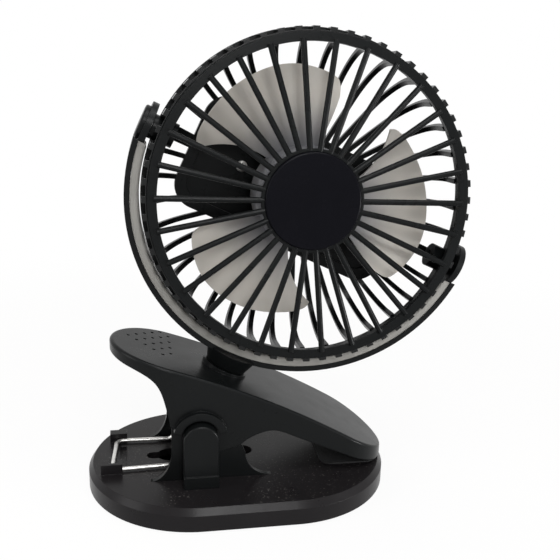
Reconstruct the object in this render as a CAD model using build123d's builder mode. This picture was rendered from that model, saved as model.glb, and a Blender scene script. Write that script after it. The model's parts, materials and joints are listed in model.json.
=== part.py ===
from build123d import *
import os
from math import atan2, cos, degrees, hypot, radians, sin, sqrt

# Clip fan: an oval clip base, a spring-closed upper jaw, a neck that swivels on the jaw,
# and a round caged fan head that tilts between the two ends of a half-ring yoke.
# Millimetres. Origin on the table under the middle of the base, +Z up, -Y is the front.

# ---------------------------------------------------------------- driving dimensions
# clearances
running_gap = 0.05        # radial play of a pin or a stem in its bore
face_gap = 0.3            # air between faces of parts that move past each other
seat_gap = 0.05           # air between two parts of one body that slip together

# base plate
base_length = 134.0
base_width = 95.0
base_top = 10.6           # height of the flat top over the table
bevel_height = 2.9
bevel_inset = 1.9
base_wall = 2.4
mat_proud = 0.6           # how far the grip mat stands below the rim
mat_recess = 0.8
mat_length = 98.0
mat_width = 54.0
cover_thickness = 1.8
top_skin = 3.4            # the flat top is thicker than the rim wall
cover_screw_radius = 1.5
cover_screw_head = 2.6
cover_screw_head_height = 0.8
cover_screw_length = 5.0
screw_inset = 16.0         # from the side of the base
screw_offset = 12.0        # past the ends of the straight sides
screw_post_radius = 3.2

# keyhole for hanging the fan on a nail, and the round hole beside the hinge
key_head_x = -31.0
key_head_radius = 5.6
key_slot_end_x = -41.2
key_slot_width = 5.8
key_y = 1.8               # the keyhole and the round hole lie towards the back
side_hole_x = 2.4
side_hole_radius = 4.4

# pivot of the jaw
pivot_x = -19.2
pivot_z = 31.5
pin_radius = 2.0

# hinge bracket: two ears that stand on the base, inside the skirts of the jaw
ear_face_y = 22.0         # outer face of each ear
ear_thickness = 2.4
ear_left_x = -31.2
ear_right_x = 0.6
ear_head_x = 9.0          # half width of the ear's round head
ear_head_z = 6.0          # where the round head starts, over the pivot
ear_shoulder_inset = 1.5
ear_foot_left = 9.0       # how far each foot runs out along the base
ear_foot_right = 11.5
ear_foot_height_left = 13.5
ear_foot_height_right = 11.0
ear_corner_height = 4.6   # upper left corner over the pivot, inside the sweep of the jaw
ear_shoulder = 25.5       # height of the shoulder at the right, over the table
bracket_floor = 1.6
bracket_floor_left_x = -25.0
bracket_floor_right_x = -3.0

# pivot covers: an upright with a round head over each end of the pin
cover_post_radius = 7.5
cover_post_thickness = 6.0
cover_foot_height = 5.5
cover_foot_step = 0.7
cover_face_round = 0.9
cover_outer_skin = 2.0    # what the pin's blind bore leaves of the cover
pin_chamfer = 0.4

# torsion spring
wire_radius = 0.9
coil_radius = 5.0
coil_turns = 3
coil_gap = 0.15
loop_half_width = 13.8
loop_middle_y = 2.0       # the loop lies a little towards the back
knee_front_y = -10.2      # where the front leg turns up to its coil
knee_back_y = 15.0
coil_start_y = 12.0
loop_end_inset = 10.2     # from the end of the base
loop_knee_x = -29.0
loop_skew = 2.2           # how much nearer the hinge the loop's back corner lies
loop_bend_radius = 3.0
front_lug_length = 9.2
back_lug_length = 7.8
back_lug_inset = 0.8      # how far the back lug stands off the corner, towards the hinge
lug_width = 4.4
lug_height = 4.6
front_lug_shift = 0.4      # how far each lug stands behind the wire that it holds
back_lug_shift = 2.3
loop_lift = 0.4           # air between the loop and the base
lug_play = 0.2            # air between the wire and its lug
recess_depth = 1.0
recess_length = 3.0
recess_offset = 5.0
recess_width = 19.6
arm_reach = 27.5          # length of the spring's straight arms
arm_angle = 120.0         # their direction from the coil, from +X towards +Z

# upper jaw
jaw_left_x = -56.2
jaw_nose_inset = 0.5      # from the end of the base
jaw_left_z = 70.2         # heights of the arched top's line past both ends and in the middle
jaw_right_z = 13.0
jaw_mid_z = 48.5
jaw_mid_x = 4.7
end_run = 2.0             # the side view runs this far past the plan, which trims it
jaw_half_width = 24.0
jaw_left_round = 26.2     # length of the rounded thumb end
jaw_right_round = 20.5    # length of the rounded nose
jaw_wall = 1.7
jaw_top_wall = 2.4
jaw_edge_round = 1.2
skirt_boss_outer = 11.8   # raised crescent over the pivot cover
skirt_boss_proud = 2.6
skirt_boss_gap = 1.0      # radial air to the pivot cover
skirt_boss_start = 15.0   # the crescent's two ends, degrees from +X
skirt_boss_end = 162.0

# lower line of the jaw in the side view, from the nose to the thumb end (x, z)
nose_flat = 5.5           # length of the flat under the nose
mouth_top = (22.0, 29.0)
mouth_arch = ((12.0, 32.6), (3.0, 30.2))
arch_end = (-2.2, 26.4)
lobe_radius = 11.0        # the skirt's lower lobe, about the pivot
lobe_start = -45.0
lobe_end = -132.0
seam_inner = (-26.3, 33.2)
seam_outer = (-31.8, 36.8)
thumb_line = ((-33.6, 46.0), (-38.0, 56.6), (-47.0, 61.8))
thumb_lip = 4.4           # thickness of the thumb end at its tip
thumb_wall = 1.6          # wall under the thumb end
thumb_wall_line = ((-31.7, 46.4), (-36.4, 58.0), (-45.6, 63.4))
thumb_wall_x = -30.6

# rubber pads of the mouth
pad_length = 26.0
pad_inset = 5.0           # from the end of the base
pad_low_drop = 0.8        # how far the jaw's pad stands below the skirts
pad_depth = 3.2
pad_half_width = 17.0
pad_corner = 5.0
pad_proud = 0.5
base_pad_thickness = 1.3

# thumb end perforation: columns of holes, from the tip inwards
thumb_wall_low = 41.0     # the wall behind the skirts ends here, clear of the ears
thumb_hole_radius = 0.75
thumb_column_pitch = 3.6
thumb_row_pitch = 7.1
thumb_middle_y = 6.8      # the pattern sits towards the back edge
thumb_hole_columns = (1, 2, 3, 4, 5, 4)
thumb_first_x = -48.2

# neck and yoke, in the tilted frame of the neck
neck_lean = 24.7          # degrees from vertical, towards +X
tilt_axis_x = 28.7
tilt_axis_z = 129.4
yoke_turn = -1.7          # swivel of the yoke as it stands, degrees
head_tilt = 4.1           # tilt of the head as it stands, degrees
yoke_outer = 77.1
yoke_band = 2.3           # radial thickness of the dark outer band
yoke_inner = 71.0
yoke_depth = 13.0
inlay_depth = 12.4
inlay_round = 1.4
lug_radius = 9.4          # round disc at each end of the yoke
lug_inner = 72.2          # its faces, from the centre
lug_face = 74.9
cap_radius = 7.2
cap_seat = 0.4            # depth of the cap's seat in the disc
cap_round = 0.9
cap_proud_left = 2.1      # the left cap is the taller one
cap_proud_right = 0.7
tilt_pin_radius = 2.0
tilt_pin_head_radius = 3.5
tilt_pin_head_height = 1.6
pin_start = 63.0          # inner end of each tilt pin, from the centre
neck_top_radius = 12.0
neck_low_radius = 9.2
neck_low = 82.3           # distance of the neck's lower face from the tilt axis
stem_radius = 4.5
stem_bore = 1.5
collar_radius = 10.4
collar_low = 89.2
washer_radius = 7.4
washer_thickness = 1.2
swivel_screw_head = 4.2
swivel_screw_head_height = 2.4
swivel_screw_depth = 7.0

# fan head, along its own axis: z towards the front, 0 on the tilt axis
ring_outer = 68.1
ring_inner = 64.2
ring_front = 12.0
ring_back = 9.4
spoke_count = 30
spoke_radius = 1.25
spoke_inner = 19.5
spoke_outer = 65.4
spoke_phase = -0.8        # degrees from the tilt axis to the first spoke
spoke_centre = 12.3
hub_plate_outer = 21.7
hub_plate_inner = 7.0
hub_plate_front = 13.4
hub_plate_thickness = 2.6
cap_disc_radius = 20.4
cap_disc_thickness = 1.4
cap_disc_round = 0.8
cap_disc_proud = 1.2      # over the hub plate

band_outer = 70.5
band_inner = 67.4
band_back = -1.2
band_front = 1.4
rib_count = 60
rib_width = 2.9
rib_outer = 70.3
rim_wall = 0.7            # wall behind the ribs, from the band up to the front ring
grip_wall = 0.6           # thin ring that carries the ribs

cage_back = -29.3         # rear face of the back spokes
cage_outer = 69.4         # outer face of the back spokes where they run forward
cage_bend = 20.0
cage_bar = 2.6            # bar depth, front to back
cage_bar_width = 2.2
cage_bar_count = 36
cage_bar_end = 0.5        # how far the bars run into the band
bar_phase = 3.9           # degrees from the tilt axis to the first bar
bar_sway = 3.7            # the bars crowd a little towards the lower left, degrees
bar_sway_angle = 208.0
hub_start = 20.0          # the bars run in under the tray from here
arm_bar_width = 4.6
arm_bar_grow = 0.15      # how far the wide arms stand out from the bars
boss_radius = 5.2
boss_inner = 61.5

tray_length = 104.0
tray_width = 53.0
tray_corner = 11.0
tray_inner_corner = 7.0
tray_front = -25.8
tray_rim = 5.0
tray_floor = 2.2          # thickness of the tray's floor
tray_screw_x = 27.0
tray_screw_radius = 1.5
tray_screw_head = 2.6
tray_screw_head_height = 1.7
tray_screw_round = 0.9
lead_hole_y = -15.5       # hole of the motor leads in the tray's floor
lead_hole_radius = 1.6

rear_depth = 11.6         # outer depth of the rear cover behind the cage
rear_wall = 2.0
rear_rim = 4.0            # side wall, thick enough for the rounded back edge
rear_inset = 1.0
rear_round = 5.0

motor_radius = 12.0
motor_length = 20.0
motor_round = 1.5
motor_boss_radius = 4.5
motor_boss_height = 1.6
shaft_radius = 1.0
shaft_bore_depth = 14.0
shaft_tip_gap = 0.5       # from the front of the hub's boss

rotor_hub_radius = 22.3
rotor_front = 3.4
rotor_hub_depth = 18.0
rotor_hub_wall = 1.6
rotor_hub_round = 3.0
rotor_boss_radius = 3.2
rotor_boss_depth = 3.0
rotor_phase = 2.0         # degrees the rotor stands turned
rotor_radius = 56.0
blade_count = 3
blade_thickness = 1.6
blade_middle = -5.6       # height of the blade's middle along the axis
blade_lead = 11.0         # rise of the blade's screw surface per radian
blade_tip_angle = 58.0    # where the pointed leading corner lies
blade_sweep = 82.0        # arc from the leading corner to the trailing corner
blade_steps = 3           # sections of the screw surface each side of its middle
blade_step_angle = 20.0
blade_sheet_start = 17.0  # the screw surface before it is trimmed to the outline
blade_sheet_end = 63.0
# outline of a blade: radii as shares of the rotor's radius, angles back from the leading
# corner (lag) or forward from the trailing corner (lead)
blade_root_depth = 1.5    # how far the blade runs into the hub
blade_root_lag = 22.0
blade_neck_share = 0.62
blade_neck_lag = 13.0
blade_tip_share = 0.88
blade_tip_turn = 20.0
blade_shoulder_share = 0.955
blade_shoulder_lag = 14.0
blade_rim_start = 40.0
blade_rim_end = 60.0
blade_heel_share = 0.93
blade_heel_lead = 5.0
blade_tail_share = 0.79
blade_tail_turn = 190.0
blade_waist_lead = 1.0
blade_root_lead = 8.0

battery_size = (52.0, 36.0, 8.4)
battery_x = -17.0
battery_corner = 3.0
board_size = (28.0, 38.0, 1.6)
board_x = 29.0
board_corner = 1.0
board_post_radius = 1.8
board_post_inset = 2.6
board_back_gap = 4.6      # board to the inside of the rear cover's back
usb_size = (9.0, 7.4, 3.2)
usb_x = 29.0
usb_overhang = 1.5        # past the edge of the board
usb_slot_gap = 0.4        # air round the socket in the cover's slot
usb_slot_corner = 1.6
button_x = 29.0
button_y = 9.0
button_radius = 4.0
button_flange = 5.0
button_round = 0.5
button_flange_height = 0.9
button_proud = 0.9
button_travel = 1.0
switch_side = 6.0

# ---------------------------------------------------------------- frames


def spun(plane, angle):
    """The same plane turned about its own normal, degrees."""
    x_dir = plane.x_dir * cos(radians(angle)) + plane.y_dir * sin(radians(angle))
    return Plane(origin=plane.origin, x_dir=x_dir, z_dir=plane.z_dir)


pivot_point = Vector(pivot_x, 0, pivot_z)
pivot_axis = Axis(pivot_point, (0, 1, 0))

neck_dir = Vector(sin(radians(neck_lean)), 0, cos(radians(neck_lean)))
across_dir = Vector(cos(radians(neck_lean)), 0, -sin(radians(neck_lean)))
tilt_centre = Vector(tilt_axis_x, 0, tilt_axis_z)
neck_plane = Plane(origin=tilt_centre, x_dir=across_dir, z_dir=neck_dir)
yoke_plane = spun(neck_plane, yoke_turn)
yoke_face = Plane(origin=tilt_centre, x_dir=yoke_plane.x_dir, z_dir=-yoke_plane.y_dir)
head_axis_dir = (-yoke_plane.y_dir) * cos(radians(head_tilt)) + neck_dir * sin(radians(head_tilt))
head_plane = Plane(origin=tilt_centre, x_dir=yoke_plane.x_dir, z_dir=head_axis_dir)
head_meridian = Plane(origin=tilt_centre, x_dir=head_plane.x_dir, z_dir=-head_plane.y_dir)
head_axis = Axis(tilt_centre, head_axis_dir)
neck_axis = Axis(tilt_centre, neck_dir)

floor_z = mat_proud
jaw_right_x = base_length / 2 - jaw_nose_inset
pad_right_x = base_length / 2 - pad_inset
pad_left_x = pad_right_x - pad_length
loop_end_x = -base_length / 2 + loop_end_inset
nose_low = base_top + pad_proud + 0.5
nose_corner = (jaw_right_x - nose_flat, nose_low)
wire_slot = 2 * (wire_radius + lug_play)
hollow_top = base_top - top_skin
merge = 0.5               # how far pieces that join run into each other
past = 2.0                # how far a cut runs past the face it opens
cover_inner_y = jaw_half_width + face_gap
rear_front = cage_back - arm_bar_grow - seat_gap
tray_floor_z = cage_back + tray_floor
board_back_z = rear_front - rear_depth + rear_wall + board_back_gap
rim_wall_outer = band_inner + rim_wall
rib_middle = (rib_outer + rim_wall_outer + grip_wall) / 2
pin_head_seat = lug_face - cap_seat - tilt_pin_head_height
coil_pitch = 2 * wire_radius + coil_gap
coil_length = coil_pitch * coil_turns


def side_sketch_plane(y):
    """Vertical plane at a given y, drawn from the front."""
    return Plane(origin=(0, y, 0), x_dir=(1, 0, 0), z_dir=(0, -1, 0))


def tilt_end_plane(side, distance):
    """Plane square to the tilt axis, facing outwards at one end of the yoke."""
    origin = tilt_centre + yoke_plane.x_dir * (side * distance)
    return Plane(origin=origin, x_dir=head_plane.y_dir, z_dir=yoke_plane.x_dir * side)


def neck_section(distance):
    """Plane square to the neck, a distance below the tilt axis, facing down the neck."""
    return Plane(origin=tilt_centre - neck_dir * distance, x_dir=across_dir, z_dir=-neck_dir)


def stadium(length, width):
    """Add a stadium-shaped face, straight sides along X."""
    SlotOverall(length, width)


# ---------------------------------------------------------------- base
def make_base_plate():
    straight = base_length / 2 - base_width / 2
    with BuildPart() as base_plate:
        with BuildSketch(Plane.XY.offset(floor_z)):
            stadium(base_length, base_width)
        extrude(amount=base_top - floor_z - bevel_height)
        with BuildSketch(Plane.XY.offset(base_top - bevel_height)):
            stadium(base_length, base_width)
        with BuildSketch(Plane.XY.offset(base_top)):
            stadium(base_length - 2 * bevel_inset, base_width - 2 * bevel_inset)
        loft(ruled=True)
        # hollow underside, closed by the bottom cover
        with BuildSketch(Plane.XY.offset(floor_z)):
            stadium(base_length - 2 * base_wall, base_width - 2 * base_wall)
        extrude(amount=hollow_top - floor_z, mode=Mode.SUBTRACT)
        # screw posts
        with BuildSketch(Plane.XY.offset(floor_z + cover_thickness)):
            with Locations(*screw_places(straight)):
                Circle(screw_post_radius)
        extrude(amount=hollow_top - floor_z - cover_thickness + merge)
        with BuildSketch(Plane.XY.offset(floor_z)):
            with Locations(*screw_places(straight)):
                Circle(cover_screw_radius)
        extrude(amount=hollow_top - floor_z - merge, mode=Mode.SUBTRACT)
        # lugs for both corners of the loop: the front one is a pocket, the back one has a groove
        with BuildSketch(Plane.XY.offset(base_top - merge)):
            with Locations((loop_corner_x(-1), loop_corner_y(-1) + front_lug_shift)):
                Rectangle(front_lug_length, lug_width)
            with Locations((loop_corner_x(1) + back_lug_inset, loop_corner_y(1) + back_lug_shift)):
                Rectangle(back_lug_length, lug_width)
        extrude(amount=lug_height + merge)
        with BuildSketch(Plane.XY.offset(base_top)):
            for side in (-1, 1):
                with Locations((loop_corner_x(side), loop_corner_y(side))):
                    Rectangle(2 * front_lug_length, wire_slot)
        extrude(amount=loop_lift + 2 * wire_radius + lug_play, mode=Mode.SUBTRACT)
        with BuildSketch(Plane.XY.offset(base_top)):
            with Locations((loop_corner_x(-1), loop_corner_y(-1) + lug_width / 2)):
                Rectangle(wire_slot, lug_width)
            bend_middle = loop_bend_radius / 2
            with Locations((loop_corner_x(-1) + bend_middle, loop_corner_y(-1) + bend_middle)):
                Rectangle(loop_bend_radius, loop_bend_radius)
        extrude(amount=lug_height, mode=Mode.SUBTRACT)
        # shallow recess beside the loop's short leg
        with BuildSketch(Plane.XY.offset(base_top - recess_depth)):
            with Locations((loop_end_x + recess_offset, loop_middle_y)):
                Rectangle(recess_length, recess_width)
        extrude(amount=recess_depth, mode=Mode.SUBTRACT)
        # keyhole and round hole through the top
        with BuildSketch(Plane.XY.offset(hollow_top - past)):
            with Locations((key_head_x, key_y)):
                Circle(key_head_radius)
            with Locations(((key_head_x + key_slot_end_x) / 2, key_y)):
                Rectangle(abs(key_head_x - key_slot_end_x) - key_slot_width, key_slot_width)
            with Locations((key_slot_end_x + key_slot_width / 2, key_y)):
                Circle(key_slot_width / 2)
            with Locations((side_hole_x, key_y)):
                Circle(side_hole_radius)
        extrude(amount=top_skin + 2 * past, mode=Mode.SUBTRACT)
        # seat of the rubber pad
        with BuildSketch(Plane.XY.offset(base_top - base_pad_thickness + pad_proud)):
            with Locations(((pad_left_x + pad_right_x) / 2, 0)):
                RectangleRounded(pad_right_x - pad_left_x, 2 * pad_half_width, pad_corner)
        extrude(amount=base_pad_thickness, mode=Mode.SUBTRACT)
    return base_plate


def loop_corner_x(side):
    """X of one corner of the spring's loop, which lies a little askew."""
    return loop_end_x + (loop_skew if side > 0 else 0.0)


def loop_corner_y(side):
    """Y of one corner of the spring's loop."""
    return loop_middle_y + side * loop_half_width


def screw_places(straight):
    """Four screws of the bottom cover."""
    reach = base_width / 2 - screw_inset
    out = straight + screw_offset
    return [(sx * out, sy * reach) for sx in (-1, 1) for sy in (-1, 1)]


def make_bottom_cover():
    straight = base_length / 2 - base_width / 2
    with BuildPart() as bottom_cover:
        with BuildSketch(Plane.XY.offset(floor_z)):
            stadium(
                base_length - 2 * base_wall - 2 * seat_gap,
                base_width - 2 * base_wall - 2 * seat_gap,
            )
        extrude(amount=cover_thickness)
        with BuildSketch(Plane.XY.offset(floor_z)):
            stadium(mat_length + 2 * seat_gap, mat_width + 2 * seat_gap)
        extrude(amount=mat_recess, mode=Mode.SUBTRACT)
        with Locations(*[(x, y, floor_z) for x, y in screw_places(straight)]):
            Cylinder(
                cover_screw_radius + running_gap, 3 * cover_thickness, mode=Mode.SUBTRACT
            )
            Cylinder(
                cover_screw_head + 4 * seat_gap, 2 * (cover_screw_head_height + 2 * seat_gap),
                mode=Mode.SUBTRACT,
            )
    return bottom_cover


def make_grip_mat():
    """Thin rubber mat under the base, the face that the fan stands on."""
    with BuildPart() as grip_mat:
        with BuildSketch(Plane.XY):
            stadium(mat_length, mat_width)
        extrude(amount=mat_proud + mat_recess)
        chamfer(grip_mat.faces().sort_by(Axis.Z)[0].edges(), mat_proud / 2)
    return grip_mat


def make_base_screws():
    straight = base_length / 2 - base_width / 2
    with BuildPart() as base_screws:
        with BuildSketch(Plane.XY.offset(floor_z + seat_gap)):
            with Locations(*screw_places(straight)):
                Circle(cover_screw_head)
        extrude(amount=cover_screw_head_height)
        with BuildSketch(Plane.XY.offset(floor_z + seat_gap)):
            with Locations(*screw_places(straight)):
                Circle(cover_screw_radius - seat_gap)
        extrude(amount=cover_screw_length)
    return base_screws


def make_base_pad():
    with BuildPart() as base_pad:
        with BuildSketch(Plane.XY.offset(base_top - base_pad_thickness + pad_proud)):
            with Locations(((pad_left_x + pad_right_x) / 2, 0)):
                RectangleRounded(
                    pad_right_x - pad_left_x - 2 * seat_gap,
                    2 * (pad_half_width - seat_gap),
                    pad_corner,
                )
        extrude(amount=base_pad_thickness)
        chamfer(base_pad.faces().sort_by(Axis.Z)[-1].edges(), pad_proud / 2)
    return base_pad


def ear_profile():
    """Face of one ear: concave feet, straight left side, round top at the pivot."""
    left_foot = (ear_left_x - ear_foot_left, base_top)
    right_foot = (ear_right_x + ear_foot_right, base_top)
    left_top = (ear_left_x, base_top + ear_foot_height_left)
    right_top = (ear_right_x, base_top + ear_foot_height_right)
    shoulder = (ear_right_x - ear_shoulder_inset, ear_shoulder)
    head_left = (pivot_x - ear_head_x, pivot_z + ear_head_z)
    with BuildSketch() as profile:
        with BuildLine():
            Line(left_foot, right_foot)
            EllipticalCenterArc(
                (right_foot[0], right_top[1]),
                ear_foot_right,
                ear_foot_height_right,
                start_angle=270,
                arc_size=-90,
            )
            Line(right_top, shoulder)
            Line(shoulder, (pivot_x + ear_head_x, pivot_z + ear_head_z))
            ThreePointArc(
                (pivot_x + ear_head_x, pivot_z + ear_head_z),
                (pivot_x, pivot_z + hypot(ear_head_x, ear_head_z)),
                head_left,
            )
            Line(head_left, (ear_left_x, pivot_z + ear_corner_height))
            Line((ear_left_x, pivot_z + ear_corner_height), left_top)
            EllipticalCenterArc(
                (left_foot[0], left_top[1]),
                ear_foot_left,
                ear_foot_height_left,
                start_angle=0,
                arc_size=-90,
            )
        make_face()
    return profile.sketch


def make_hinge_bracket():
    with BuildPart() as hinge_bracket:
        for side in (-1, 1):
            y_start = ear_face_y if side > 0 else -(ear_face_y - ear_thickness)
            with BuildSketch(side_sketch_plane(y_start)):
                add(ear_profile())
            extrude(amount=ear_thickness)
        with BuildSketch(Plane.XY.offset(base_top)):
            with Locations(((bracket_floor_left_x + bracket_floor_right_x) / 2, 0)):
                Rectangle(
                    bracket_floor_right_x - bracket_floor_left_x,
                    2 * ear_face_y - ear_thickness,
                )
        extrude(amount=bracket_floor)
        with Locations(Location(pivot_point, (90, 0, 0))):
            Cylinder(
                pin_radius + running_gap, 3 * ear_face_y, mode=Mode.SUBTRACT
            )
    return hinge_bracket


def make_pivot_cover(side):
    face_y = side * cover_inner_y
    plane = Plane(origin=(0, face_y, 0), x_dir=(-side, 0, 0), z_dir=(0, side, 0))
    centre_x = pivot_x * -side
    with BuildPart() as pivot_cover:
        with BuildSketch(plane):
            with Locations((centre_x, (base_top + pivot_z) / 2)):
                Rectangle(2 * cover_post_radius, pivot_z - base_top)
            with Locations((centre_x, pivot_z)):
                Circle(cover_post_radius)
        extrude(amount=cover_post_thickness)
        outer_face = pivot_cover.faces().sort_by(Axis.Y)[-1 if side > 0 else 0]
        fillet(outer_face.edges().sort_by(Axis.Z)[1:], cover_face_round)
        with BuildSketch(plane):
            with Locations((centre_x, base_top + cover_foot_height / 2)):
                Rectangle(2 * cover_post_radius, cover_foot_height)
        extrude(amount=cover_post_thickness + cover_foot_step)
        with Locations(Location((pivot_x, face_y, pivot_z), (90, 0, 0))):
            Cylinder(
                pin_radius + running_gap,
                2 * (cover_post_thickness - cover_outer_skin),
                mode=Mode.SUBTRACT,
            )
    return pivot_cover


def make_pivot_pin():
    reach = cover_inner_y + cover_post_thickness - cover_outer_skin - face_gap
    with BuildPart() as pivot_pin:
        with Locations(Location(pivot_point, (90, 0, 0))):
            Cylinder(pin_radius, 2 * reach)
        chamfer(pivot_pin.edges(), pin_chamfer)
    return pivot_pin


def make_coil(left_hand):
    """One coil on its own frame, wound about Z from its foot upwards."""
    with BuildPart() as one_turn:
        with BuildLine():
            path = Helix(coil_pitch, coil_pitch, coil_radius, lefthand=left_hand)
        with BuildSketch(Plane(origin=path @ 0, z_dir=path % 0)):
            Circle(wire_radius)
        sweep()
    with BuildPart() as coil:
        with Locations(*[(0, 0, turn * coil_pitch) for turn in range(coil_turns)]):
            add(one_turn.part)
    return coil.part


def make_torsion_spring():
    """Two coils round the pin, joined by the loop that lies under the lugs."""
    loop_z = base_top + wire_radius + loop_lift
    knee = Vector(loop_knee_x, 0, loop_z)
    to_coil = pivot_point - knee
    reach = to_coil.length
    tangent = sqrt(reach ** 2 - coil_radius ** 2)
    lift = atan2(to_coil.Z, to_coil.X) + atan2(coil_radius, tangent)
    touch = knee + Vector(cos(lift), 0, sin(lift)) * tangent
    end = touch + Vector(cos(lift), 0, sin(lift)) * wire_radius
    with BuildPart() as torsion_spring:
        with BuildLine():
            FilletPolyline(
                (end.X, -coil_start_y, end.Z),
                (knee.X, knee_front_y, knee.Z),
                (loop_corner_x(-1), loop_corner_y(-1), loop_z),
                (loop_corner_x(1), loop_corner_y(1), loop_z),
                (knee.X, knee_back_y, knee.Z),
                (end.X, coil_start_y, end.Z),
                radius=loop_bend_radius,
            )
        start = Plane(
            origin=(end.X, -coil_start_y, end.Z),
            z_dir=(knee.X - end.X, knee_front_y + coil_start_y, knee.Z - end.Z),
        )
        with BuildSketch(start):
            Circle(wire_radius)
        sweep()
        for side in (-1, 1):
            coil_frame = Plane(
                origin=(pivot_x, side * coil_start_y, pivot_z),
                x_dir=(touch.X - pivot_x, 0, touch.Z - pivot_z),
                z_dir=(0, -side, 0),
            )
            with Locations(Location(coil_frame)):
                add(make_coil(side > 0))
    return torsion_spring


def make_spring_arms():
    """The spring's outer arms, which lift the thumb end and ride with the jaw."""
    arm_y = coil_start_y - coil_length - coil_pitch - face_gap
    direction = Vector(cos(radians(arm_angle)), 0, sin(radians(arm_angle)))
    normal = Vector(sin(radians(arm_angle)), 0, -cos(radians(arm_angle)))
    with BuildPart() as spring_arms:
        for side in (-1, 1):
            foot = pivot_point + normal * coil_radius + Vector(0, side * arm_y, 0)
            with BuildSketch(Plane(origin=foot, z_dir=direction)):
                Circle(wire_radius)
            extrude(amount=arm_reach)
    return spring_arms


# ---------------------------------------------------------------- upper jaw
def jaw_plan(inset):
    """Outline of the jaw seen from above."""
    left_x = jaw_left_x + jaw_left_round
    right_x = jaw_right_x - jaw_right_round
    with Locations(((left_x + right_x) / 2, 0)):
        Rectangle(right_x - left_x, 2 * (jaw_half_width - inset))
    with Locations((left_x, 0)):
        Ellipse(jaw_left_round - inset, jaw_half_width - inset)
    with Locations((right_x, 0)):
        Ellipse(jaw_right_round - inset, jaw_half_width - inset)


def jaw_top_points(drop):
    """Three points on the arched top, or on a line a little below it."""
    return (
        (jaw_left_x - end_run, jaw_left_z - drop),
        (jaw_mid_x, jaw_mid_z - drop),
        (jaw_right_x + end_run, jaw_right_z - drop),
    )


def about_pivot(radius, angle):
    """Point of the side view at an angle about the pivot."""
    x = pivot_x + radius * cos(radians(angle))
    return (x, pivot_z + radius * sin(radians(angle)))


def jaw_side():
    """Side view of the jaw: arched top, mouth, skirt round the pivot, thumb end."""
    top_left, top_middle, top_right = jaw_top_points(0.0)
    nose_tip = (top_right[0], nose_low)
    thumb_tip = (top_left[0], jaw_left_z - thumb_lip)
    with BuildSketch() as profile:
        with BuildLine():
            ThreePointArc(top_left, top_middle, top_right)
            Polyline(top_right, nose_tip, nose_corner, mouth_top)
            mouth_run = (mouth_top[0] - nose_corner[0], mouth_top[1] - nose_corner[1])
            Spline(mouth_top, *mouth_arch, arch_end, tangents=(mouth_run, (-1.0, -1.0)))
            lobe = ThreePointArc(
                about_pivot(lobe_radius, lobe_start),
                about_pivot(lobe_radius, (lobe_start + lobe_end) / 2),
                about_pivot(lobe_radius, lobe_end),
            )
            Line(arch_end, lobe @ 0)
            Polyline(lobe @ 1, seam_inner, seam_outer)
            Spline(seam_outer, *thumb_line, thumb_tip, tangents=((-0.1, 1.0), (-1.0, 0.5)))
            Line(thumb_tip, top_left)
        make_face()
    return profile.sketch


def make_jaw_shell():
    with BuildPart() as jaw_shell:
        with BuildSketch(side_sketch_plane(0)):
            add(jaw_side())
        extrude(amount=jaw_half_width + past, both=True)
        with BuildSketch(Plane.XY):
            jaw_plan(0.0)
        extrude(amount=tilt_axis_z, mode=Mode.INTERSECT)
        fillet(jaw_shell.edges().filter_by(top_rim_edge), jaw_edge_round)
        with BuildPart(mode=Mode.PRIVATE) as hollow:
            with BuildSketch(side_sketch_plane(0)):
                add(jaw_hollow_side())
            extrude(amount=jaw_half_width + past, both=True)
            with BuildSketch(Plane.XY):
                jaw_plan(jaw_wall)
            extrude(amount=tilt_axis_z, mode=Mode.INTERSECT)
        add(hollow.part, mode=Mode.SUBTRACT)
        # raised crescents over the pivot covers
        for side in (-1, 1):
            with BuildSketch(side_sketch_plane(side * (jaw_half_width - merge))):
                add(crescent_profile())
            extrude(amount=-side * (skirt_boss_proud + merge))
        # neck collar with the bore for the stem
        with BuildSketch(neck_section(neck_low + face_gap)):
            Circle(collar_radius)
        extrude(amount=collar_low - neck_low - face_gap)
        with BuildSketch(neck_section(neck_low - past)):
            Circle(stem_radius + running_gap)
        extrude(amount=collar_low - neck_low + 2 * past, mode=Mode.SUBTRACT)
        # bore for the pivot pin
        with Locations(Location(pivot_point, (90, 0, 0))):
            Cylinder(pin_radius + running_gap, 4 * jaw_half_width, mode=Mode.SUBTRACT)
        # thumb end perforation
        with BuildSketch(Plane.XY.offset(seam_outer[1])):
            with Locations(*thumb_holes()):
                Circle(thumb_hole_radius)
        extrude(amount=jaw_left_z, mode=Mode.SUBTRACT)
    return jaw_shell


def top_rim_edge(edge):
    """True for the edge where the arched top meets the side wall."""
    middle = edge @ 0.5
    return middle.Z > jaw_top_height(middle.X) - jaw_edge_round / 2


def jaw_top_height(x):
    """Height of the arched top at a given x."""
    slope_left = (jaw_left_z - jaw_mid_z) / (jaw_left_x - jaw_mid_x)
    slope_right = (jaw_right_z - jaw_mid_z) / (jaw_right_x - jaw_mid_x)
    slope = slope_left if x < jaw_mid_x else slope_right
    return jaw_mid_z + slope * (x - jaw_mid_x)


def jaw_hollow_side():
    """Side view of the jaw's hollow, under the top wall and open below."""
    top_left, top_middle, top_right = jaw_top_points(jaw_top_wall / cos(radians(neck_lean)))
    thumb_tip = (top_left[0], jaw_left_z - thumb_lip + thumb_wall)
    wall_foot = (thumb_wall_x, thumb_wall_low)
    with BuildSketch() as profile:
        with BuildLine():
            ThreePointArc(top_left, top_middle, top_right)
            Polyline(
                top_right, (top_right[0], 0.0), (jaw_left_x, 0.0),
                (jaw_left_x, thumb_wall_low), wall_foot,
            )
            Spline(wall_foot, *thumb_wall_line, thumb_tip, tangents=((-0.1, 1.0), (-1.0, 0.5)))
            Line(thumb_tip, top_left)
        make_face()
    return profile.sketch


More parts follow.
